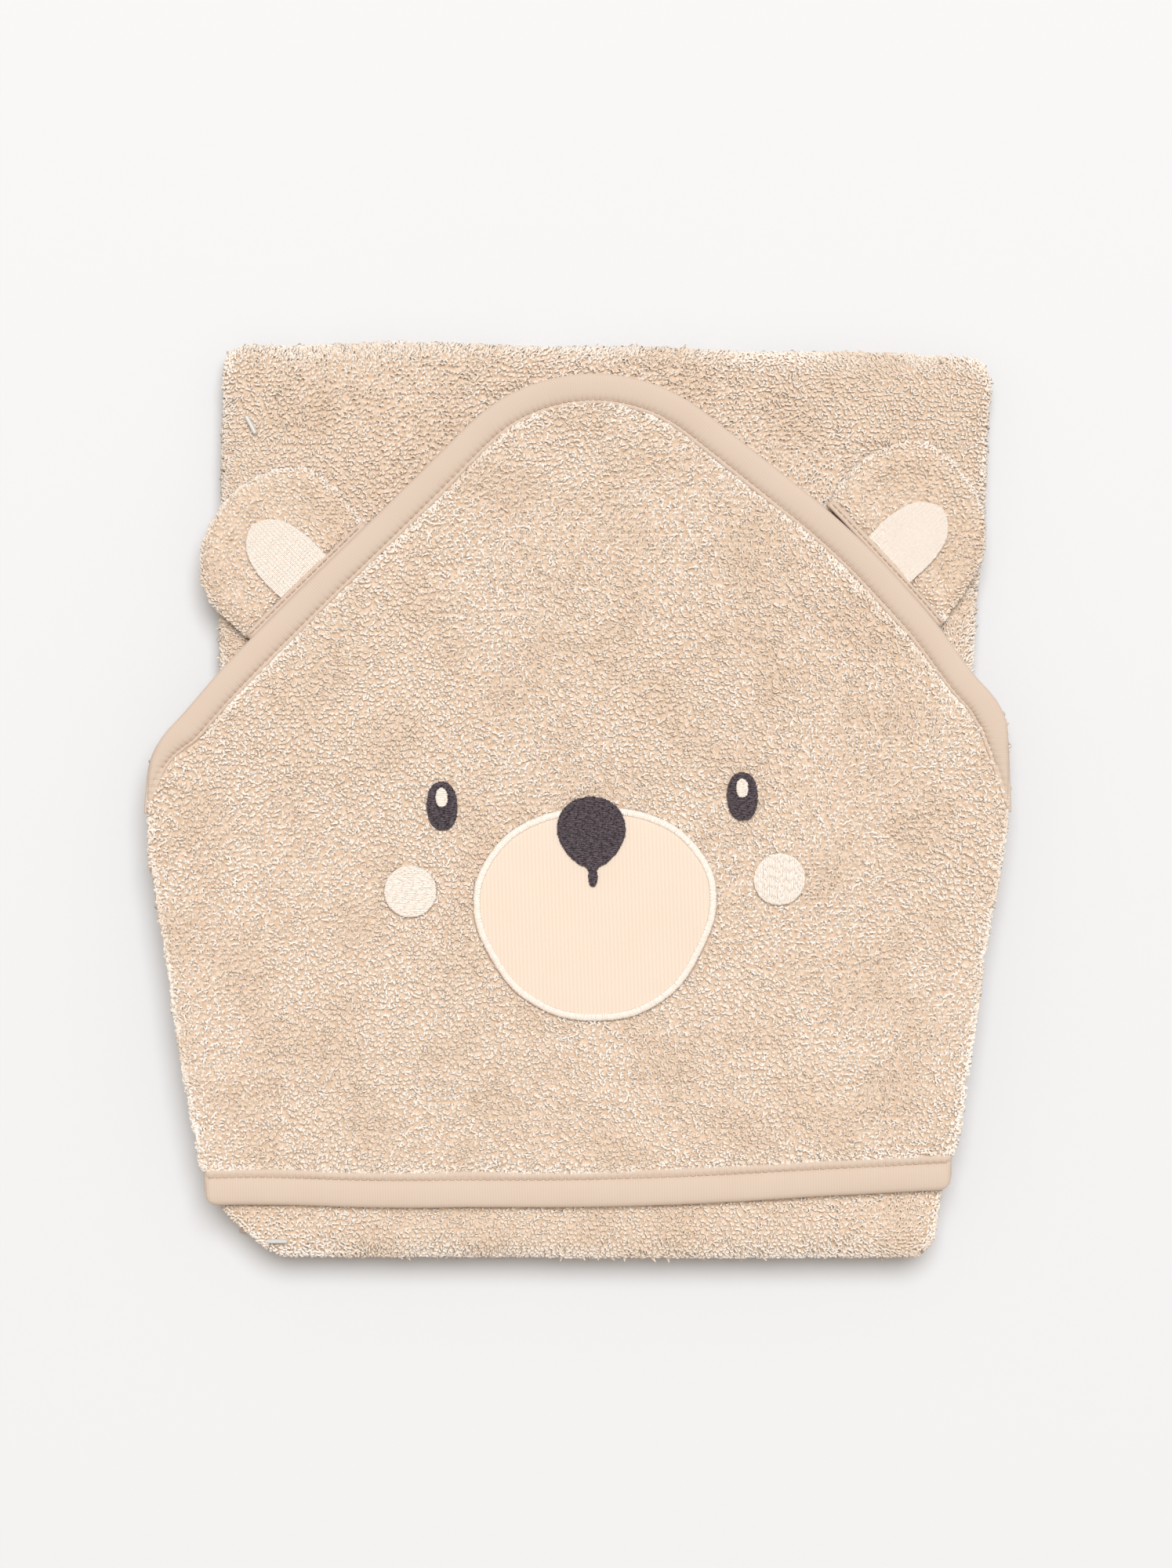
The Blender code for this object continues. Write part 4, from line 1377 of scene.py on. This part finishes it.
class Patch:
    """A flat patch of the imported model, and where rows across it begin and end."""

    def __init__(self, frame: Frame, node: str) -> None:
        """Reads the patch.

        Args:
            frame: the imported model.
            node: the patch's node.
        """
        mesh = frame.loaded["nodes"][node].data
        corners = [vertex.co.copy() for vertex in mesh.vertices]
        self.tree = BVHTree.FromPolygons(corners, [tuple(face.vertices) for face in mesh.polygons])
        plan = frame.points(node)
        self.middle = plan[:, :2].mean(axis=0)
        self.radius = float(np.linalg.norm(plan[:, :2] - self.middle, axis=1).max())
        self.high = float(plan[:, 2].max())

    def covers(self, x: float, y: float) -> bool:
        """Says whether the patch has cloth at this place."""
        return self.tree.ray_cast(Vector((x, y, 1.0)), Vector((0, 0, -1)))[0] is not None

    def spans(
        self, along: np.ndarray, pitch: float, step: float = 0.15 * MM
    ) -> list[tuple[float, float, float]]:
        """Cuts the patch into rows.

        Args:
            along: the way the rows run, of length 1.
            pitch: how far apart they are.
            step: how finely their ends are found.

        Returns:
            For each run of a row: how far across it is, where it begins and where it ends, from the middle.
        """
        across = np.array([-along[1], along[0]])
        found = []
        for depth in np.arange(-self.radius, self.radius, pitch):
            begun = None
            for reach in np.arange(-self.radius - step, self.radius + step, step):
                x, y = self.middle + along * reach + across * depth
                if self.covers(x, y):
                    begun = reach if begun is None else begun
                elif begun is not None:
                    found.append((float(depth), float(begun), float(reach)))
                    begun = None
        return found


@dataclass
class FilledPatch:
    """Embroidery of one colour: rows of thread laid side by side between needle points."""

    node: str
    body: str
    slot: str
    thread: bpy.types.Material
    turn: float
    frame: Frame
    billow: Billow
    pitch: float = 0.42 * MM
    stitch: float = 3.4 * MM
    way: StitchWay = StitchWay.SCATTERED
    ragged: float = 0.22 * MM

    def build(self) -> bpy.types.Object:
        """Builds the rows of thread and returns them as one piece."""
        patch = Patch(self.frame, self.node)
        rng = np.random.default_rng(len(self.node) * 7 + 1)
        along = np.array([math.cos(self.turn), math.sin(self.turn)])
        across = np.array([-along[1], along[0]])
        runs = []
        for number, (depth, begun, ended) in enumerate(patch.spans(along, self.pitch)):
            begun, ended = begun - rng.uniform(0, self.ragged), ended + rng.uniform(0, self.ragged)
            if self.way is StitchWay.SCATTERED:
                first = rng.uniform(0, self.stitch)
            else:
                first = 0.5 * self.stitch * (number % 2) * 0.35 + rng.normal(0, 0.05) * self.stitch
            numbers = np.arange(math.floor(begun / self.stitch) - 1, ended / self.stitch + 1)
            marks = numbers * self.stitch + first
            cuts = [begun, *[mark for mark in marks if begun + 0.3 * MM < mark < ended - 0.3 * MM], ended]
            runs += [(depth, first_end, last_end) for first_end, last_end in zip(cuts[:-1], cuts[1:])]
        ends = np.array(runs)
        share = np.array([0.0, 0.1, 0.28, 0.5, 0.72, 0.9, 1.0])
        dip = np.array([-0.34, -0.02, 0.1, 0.12, 0.1, -0.02, -0.34]) * MM
        at = ends[:, 1:2] + (ends[:, 2:3] - ends[:, 1:2]) * share[None]
        depth = ends[:, :1] + rng.normal(0, 0.025 * MM, (len(ends), 1))
        paths = np.empty((*at.shape, 3))
        paths[:, :, :2] = patch.middle + at[..., None] * along + depth[..., None] * across
        paths[:, :, 2] = patch.high - 0.18 * MM + dip[None] + rng.normal(0, 0.03 * MM, (len(ends), 1))
        verts = self.billow.lay(paths.reshape(-1, 3)).reshape(paths.shape)
        up = np.tile([0.0, 0.0, 1.0], (len(ends), 1))
        verts, faces = tubes(verts, self.pitch * 0.58, 0.24 * MM, up, 4)
        made = mesh_piece(f"{self.node}_thread", verts, faces, self.thread)
        backing = self.frame.mesh_copy(f"{self.node}_backing", self.node)
        places = places_of(backing)
        places[:, 2] = np.minimum(places[:, 2], patch.high - 0.34 * MM)
        set_places(backing, self.billow.lay(places))
        backing.data.materials.append(self.thread)
        bpy.ops.object.select_all(action="DESELECT")
        backing.select_set(True)
        made.select_set(True)
        bpy.context.view_layer.objects.active = made
        bpy.ops.object.join()
        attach(made, self.body)
        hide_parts(self.node)
        return made


@dataclass
class SatinRing:
    """A border of close short threads laid across the edge of a patch."""

    node: str
    body: str
    thread: bpy.types.Material
    frame: Frame
    billow: Billow
    width: float = 2.3 * MM
    pitch: float = 0.36 * MM

    def build(self) -> bpy.types.Object:
        """Builds the ring and returns it."""
        outer = smoothed(resampled(self.frame.outline(self.node), self.pitch, closed=True), 4, closed=True)
        inward = normals_of(outer, closed=True)
        rng = np.random.default_rng(9)
        high = self.frame.high(self.node)
        share = np.array([0.0, 0.08, 0.3, 0.55, 0.8, 0.95, 1.0])
        rise = np.array([-0.6, -0.12, 0.16, 0.26, 0.2, 0.08, -0.25]) * MM
        count = len(outer)
        reach = self.width * share[None] + rng.uniform(-0.12, 0.12, (count, 1)) * MM
        slant = rng.normal(0, 0.04, (count, 1)) * MM * share[None]
        forward = np.stack([inward[:, 1], -inward[:, 0]], axis=1)
        paths = np.empty((count, len(share), 3))
        paths[:, :, :2] = (
            outer[:, None] + inward[:, None] * reach[..., None] + forward[:, None] * slant[..., None]
        )
        paths[:, :, 2] = high + rise[None]
        up = np.tile([0.0, 0.0, 1.0], (count, 1))
        laid = self.billow.lay(paths.reshape(-1, 3)).reshape(paths.shape)
        verts, faces = tubes(laid, self.pitch * 0.62, 0.22 * MM, up, 4)
        made = mesh_piece(f"{self.node}_thread", verts, faces, self.thread)
        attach(made, self.body)
        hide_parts(self.node)
        return made


@dataclass
class Muzzle:
    """The velour patch, a little domed over the pile that it is sewn to."""

    body: str
    velour: bpy.types.Material
    frame: Frame
    billow: Billow
    dome: float = 0.22 * MM

    def build(self) -> bpy.types.Object:
        """Builds the patch and returns it."""
        made = self.frame.mesh_copy("muzzle_velour", "muzzle")
        low = self.frame.low("muzzle")
        remeshed(made, 0.9 * MM, (0.1 * MM,) * 3, 4.0)
        places = places_of(made)
        ring = self.frame.outline("muzzle_border")
        rim = resampled(ring, 2.0 * MM, closed=True)
        depth = np.full(len(places), np.inf)
        for point in rim:
            depth = np.minimum(depth, np.hypot(places[:, 0] - point[0], places[:, 1] - point[1]))
        share = np.clip(depth / (9 * MM), 0, 1)
        top = np.clip((places[:, 2] - low) / (0.4 * MM), 0, 1)
        ripple = np.sin(places[:, 0] / 0.0041) * np.sin(places[:, 1] / 0.0057 + 1.0)
        places[:, 2] += top * (self.dome * share * share * (3 - 2 * share) + 0.06 * MM * ripple)
        set_places(made, self.billow.lay(places))
        made.data.materials.append(self.velour)
        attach(made, self.body)
        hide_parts("muzzle")
        return made


@dataclass
class EarSeam:
    """The turned-back jersey along an ear's base, beside the hood's binding, with its stitches."""

    side: str
    hinge: tuple[float, float]
    outward: tuple[float, float]
    frame: Frame
    billow: Billow
    jersey: bpy.types.Material
    thread: bpy.types.Material

    def build(self) -> list[bpy.types.Object]:
        """Builds the strip and its stitches and returns them."""
        node = f"ear_{self.side}_front"
        plan = self.frame.points(node)[:, :2] - np.array(self.hinge)
        out = np.array(self.outward)
        along = np.array([out[1], -out[0]])
        near = np.abs(plan @ out) < 6 * MM
        reach = plan[near] @ along
        start = np.array(self.hinge) - out * 0.6 * MM
        line = resampled(np.array([start + along * at for at in (reach.max(), reach.min())]), MM)
        if np.dot(normals_of(line)[0], out) < 0:
            line = line[::-1]
        profile = TapeProfile(
            rows=(
                (0.0, 0.2), (0.0, 1.3), (0.5, 1.75), (1.3, 1.7), (1.7, 1.45), (2.1, 1.7), (2.7, 1.5),
                (2.9, 0.9), (2.8, 0.1),
            ),
            stitch_in=1.7,
            pucker=0.5 * MM,
        )
        tape = Tape(f"ear_{self.side}_seam", line, self.frame.high(node) + 0.1 * MM, profile, self.jersey,
                    self.thread, self.billow)
        return tape.build_loose()


# ---------------------------------------------------------------- studio


@dataclass(frozen=True)
class Studio:
    """A pale floor under a broad soft light from beyond the towel's top and right, with painted light: the
    floor is painted lighter towards the top.
    """

    # The floor is painted darker at -Y and lighter at +Y: painted light falling off away from the key.
    floor_painted_dim_near: str = "E2E2E2"
    floor_painted_lit_far: str = "E7E7E7"
    floor_size: float = 9.0
    world_colour: str = "FFF2E2"
    key_colour: str = "F5F9FF"
    world_light: float = 0.42
    key_power: float = 2.80
    key_spread: float = 34.0
    key_tilt: float = 18.0
    key_turn: float = -12.0
    camera_place: tuple[float, float, float] = (0.0024, 0.0061, 1.62)
    camera_lens: float = 106.7

    def build(self) -> None:
        """Builds the floor, the lights and the camera."""
        bpy.ops.mesh.primitive_plane_add(size=self.floor_size, location=(0, 0, -0.0004))
        floor = bpy.context.object
        floor.name = "floor"
        material, tree, shader = new_material("matt_paper")
        # Painted light: the floor's colour runs from darker at -Y to lighter at +Y, the side the key shines
        # from.
        place = add(tree, "ShaderNodeTexCoord").outputs["Object"]
        up = add(tree, "ShaderNodeSeparateXYZ", {"Vector": place}).outputs["Y"]
        share = add(tree, "ShaderNodeMapRange", {"Value": up, "From Min": -0.27, "From Max": 0.27}).outputs[0]
        colour = ramp(tree, share, [(0.0, self.floor_painted_dim_near), (1.0, self.floor_painted_lit_far)])
        tree.links.new(colour, shader.inputs["Base Color"])
        shader.inputs["Roughness"].default_value = 0.9
        shader.inputs["Specular IOR Level"].default_value = 0.1
        floor.data.materials.append(material)
        floor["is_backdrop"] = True
        world = bpy.data.worlds.new("studio")
        world.use_nodes = True
        ground = world.node_tree.nodes["Background"]
        ground.inputs["Color"].default_value = linear(self.world_colour)
        ground.inputs["Strength"].default_value = self.world_light
        bpy.context.scene.world = world
        bpy.ops.object.light_add(type="SUN", location=(0.4, 0.8, 1.2))
        key = bpy.context.object
        key.name = "key"
        key.data.energy = self.key_power
        key.data.angle = math.radians(self.key_spread)
        key.data.color = linear(self.key_colour)[:3]
        key.rotation_euler = (math.radians(-self.key_tilt), 0.0, math.radians(self.key_turn))
        bpy.ops.object.camera_add(location=self.camera_place)
        camera = bpy.context.object
        camera.data.lens = self.camera_lens
        camera.data.clip_start = 0.05
        bpy.context.scene.camera = camera
        bpy.context.scene.view_settings.view_transform = "Standard"


# ---------------------------------------------------------------- the towel


@dataclass
class Finishes:
    """Every finish of the towel, built once."""

    yarn: bpy.types.Material
    ground: bpy.types.Material
    jersey: bpy.types.Material
    seam: bpy.types.Material
    cream: bpy.types.Material
    dark: bpy.types.Material
    velour: bpy.types.Material
    nylon: bpy.types.Material

    @classmethod
    def build(cls, turn: float) -> Finishes:
        """Builds them.

        Args:
            turn: the face's tilt, in radians.
        """
        return cls(
            yarn=TerryYarn().build(),
            ground=TerryGround().build(),
            jersey=RibbedJersey().build(),
            # Each thread's two colours are its one colour as lit and as shaded: painted sheen and shade.
            seam=StitchThread("binding_thread", "D3BFAC", "C6AE98").build(),
            cream=StitchThread("cream_embroidery_thread", "FBF3EA", "F7E9DA").build(),
            dark=StitchThread("charcoal_embroidery_thread", "6A5E64", "362D31", 0.45).build(),
            velour=Velour().build(turn),
            nylon=ClearNylon().build(),
        )


class Towel:
    """The folded hooded towel."""

    tilt = math.radians(1.8)
    hinges = {
        "left": ((-0.093209, 0.075756), (-0.703395, 0.710799)),
        "right": ((0.105080, 0.081778), (0.723570, 0.690251)),
    }

    def __init__(self) -> None:
        """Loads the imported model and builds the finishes."""
        self.frame = Frame()
        self.stack = Billow(0.026, STACK_NUDGES)
        self.edge = Billow(0.026, EDGE_NUDGES)
        self.billow = Billow(0.026, EDGE_NUDGES + HEM_NUDGES)
        self.finish = Finishes.build(self.tilt)
        self.pile = TerryPile(self.finish.yarn)

    def build_sections(self) -> None:
        """Builds the three folded lengths of towel."""
        front = self.frame.outline("towel_front")
        hood = self.frame.outline("hood_upper", "hood_lower", "hood_edge_binding")
        for node, body, above in (
            ("towel_back", "back", front),
            ("towel_middle", "middle", front),
            ("towel_front", "front", hood),
        ):
            laid = self.edge if body == "front" else self.stack
            section = TowelSection(node, body, self.frame, laid, self.finish.ground, self.pile)
            section.build(above, 7.0 * MM, self.slope_tape() if body == "front" else None)
            LOG.info("%s done", node)

    def build_hood(self) -> None:
        """Builds the hood, clear of what is sewn on it."""
        names = ("muzzle_border", "eye_left", "eye_right", "cheek_left", "cheek_right")
        hood = Hood(self.frame, self.billow, self.finish.ground, self.pile)
        hood.build([self.frame.outline(name) for name in names], self.slope_tape())
        LOG.info("hood done")

    def build_ears(self) -> None:
        """Builds both ears, their inner ears and the seams along their bases."""
        for side, (hinge, outward) in self.hinges.items():
            ear = Ear(side, hinge, outward, self.frame, self.billow, self.finish.ground, self.pile)
            ear.build()
            turn = math.atan2(-outward[0], outward[1])
            FilledPatch(
                f"inner_ear_{side}",
                ear.body,
                "cream_embroidery",
                self.finish.cream,
                turn,
                self.frame,
                self.billow,
                pitch=0.52 * MM,
                stitch=1.25 * MM,
                way=StitchWay.ALIGNED,
            ).build()
            seam = EarSeam(
                side, hinge, outward, self.frame, self.billow, self.finish.jersey, self.finish.seam
            ).build()
            for piece in seam:
                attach(piece, ear.body)
            LOG.info("ear_%s done", side)

    def build_face(self) -> None:
        """Builds the muzzle, nose, eyes and cheeks."""
        Muzzle("hood_flap", self.finish.velour, self.frame, self.billow).build()
        SatinRing("muzzle_border", "hood_flap", self.finish.cream, self.frame, self.billow).build()
        dark, cream = self.finish.dark, self.finish.cream
        for node, slot, thread, turned in (
            ("nose", "charcoal_embroidery", dark, 0.0),
            ("eye_left", "charcoal_embroidery", dark, 0.0),
            ("eye_right", "charcoal_embroidery", dark, 0.0),
            ("eye_glint_left", "cream_embroidery", cream, 0.0),
            ("eye_glint_right", "cream_embroidery", cream, 0.0),
            ("cheek_left", "cream_embroidery", cream, 0.0),
            ("cheek_right", "cream_embroidery", cream, math.pi / 2),
        ):
            FilledPatch(
                node, "hood_flap", slot, thread, self.tilt + turned, self.frame, self.billow
            ).build()
        LOG.info("face done")

    def slope_tape(self) -> Tape:
        """Returns the binding of the hood's slopes, not built yet."""
        line = outer_edge(self.frame, -0.004, 0.5 * MM)
        low = self.frame.low("hood_edge_binding") + 0.3 * MM
        jersey, seam = self.finish.jersey, self.finish.seam
        return Tape("hood_edge_tape", line, low, HOOD_TAPE, jersey, seam, self.billow, tuck=0.036)

    def build_bindings(self) -> None:
        """Builds the bindings of the hood's slopes and hem, and of the towel's hidden end."""
        jersey, seam = self.finish.jersey, self.finish.seam
        low = self.frame.low("hood_edge_binding")
        for piece in self.slope_tape().build("hood_edge_binding", "hood_edge_seam"):
            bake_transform(piece)
        hem_line = straight_edge(self.frame, "hem_binding", 0.5 * MM)[3:-4]
        hem = Tape("hem_tape", hem_line, low, HEM_TAPE, jersey, seam, self.billow, corner=5.0 * MM)
        for piece in hem.build("hem_binding", "hem_seam"):
            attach(piece, "hood_flap")
        end_line = straight_edge(self.frame, "end_binding", 1.0 * MM)
        end = Tape("end_tape", end_line, 0.0, END_TAPE, jersey, seam, self.stack)
        for piece in end.build("end_binding", "end_seam"):
            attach(piece, "back")
        LOG.info("bindings done")

    def build_tacks(self) -> None:
        """Finishes the two nylon tacks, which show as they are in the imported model."""
        for node in ("fold_tack_upper", "fold_tack_lower"):
            tack = self.frame.loaded["nodes"][node]
            tack.data.materials.clear()
            tack.data.materials.append(self.finish.nylon)
        LOG.info("tacks done")


def main() -> None:
    """Builds the towel and the studio round it."""
    logging.basicConfig(level=logging.INFO, format="%(name)s: %(message)s")
    towel = Towel()
    towel.build_sections()
    towel.build_hood()
    towel.build_ears()
    towel.build_face()
    towel.build_bindings()
    towel.build_tacks()
    Studio().build()


if __name__ == "__main__":
    main()
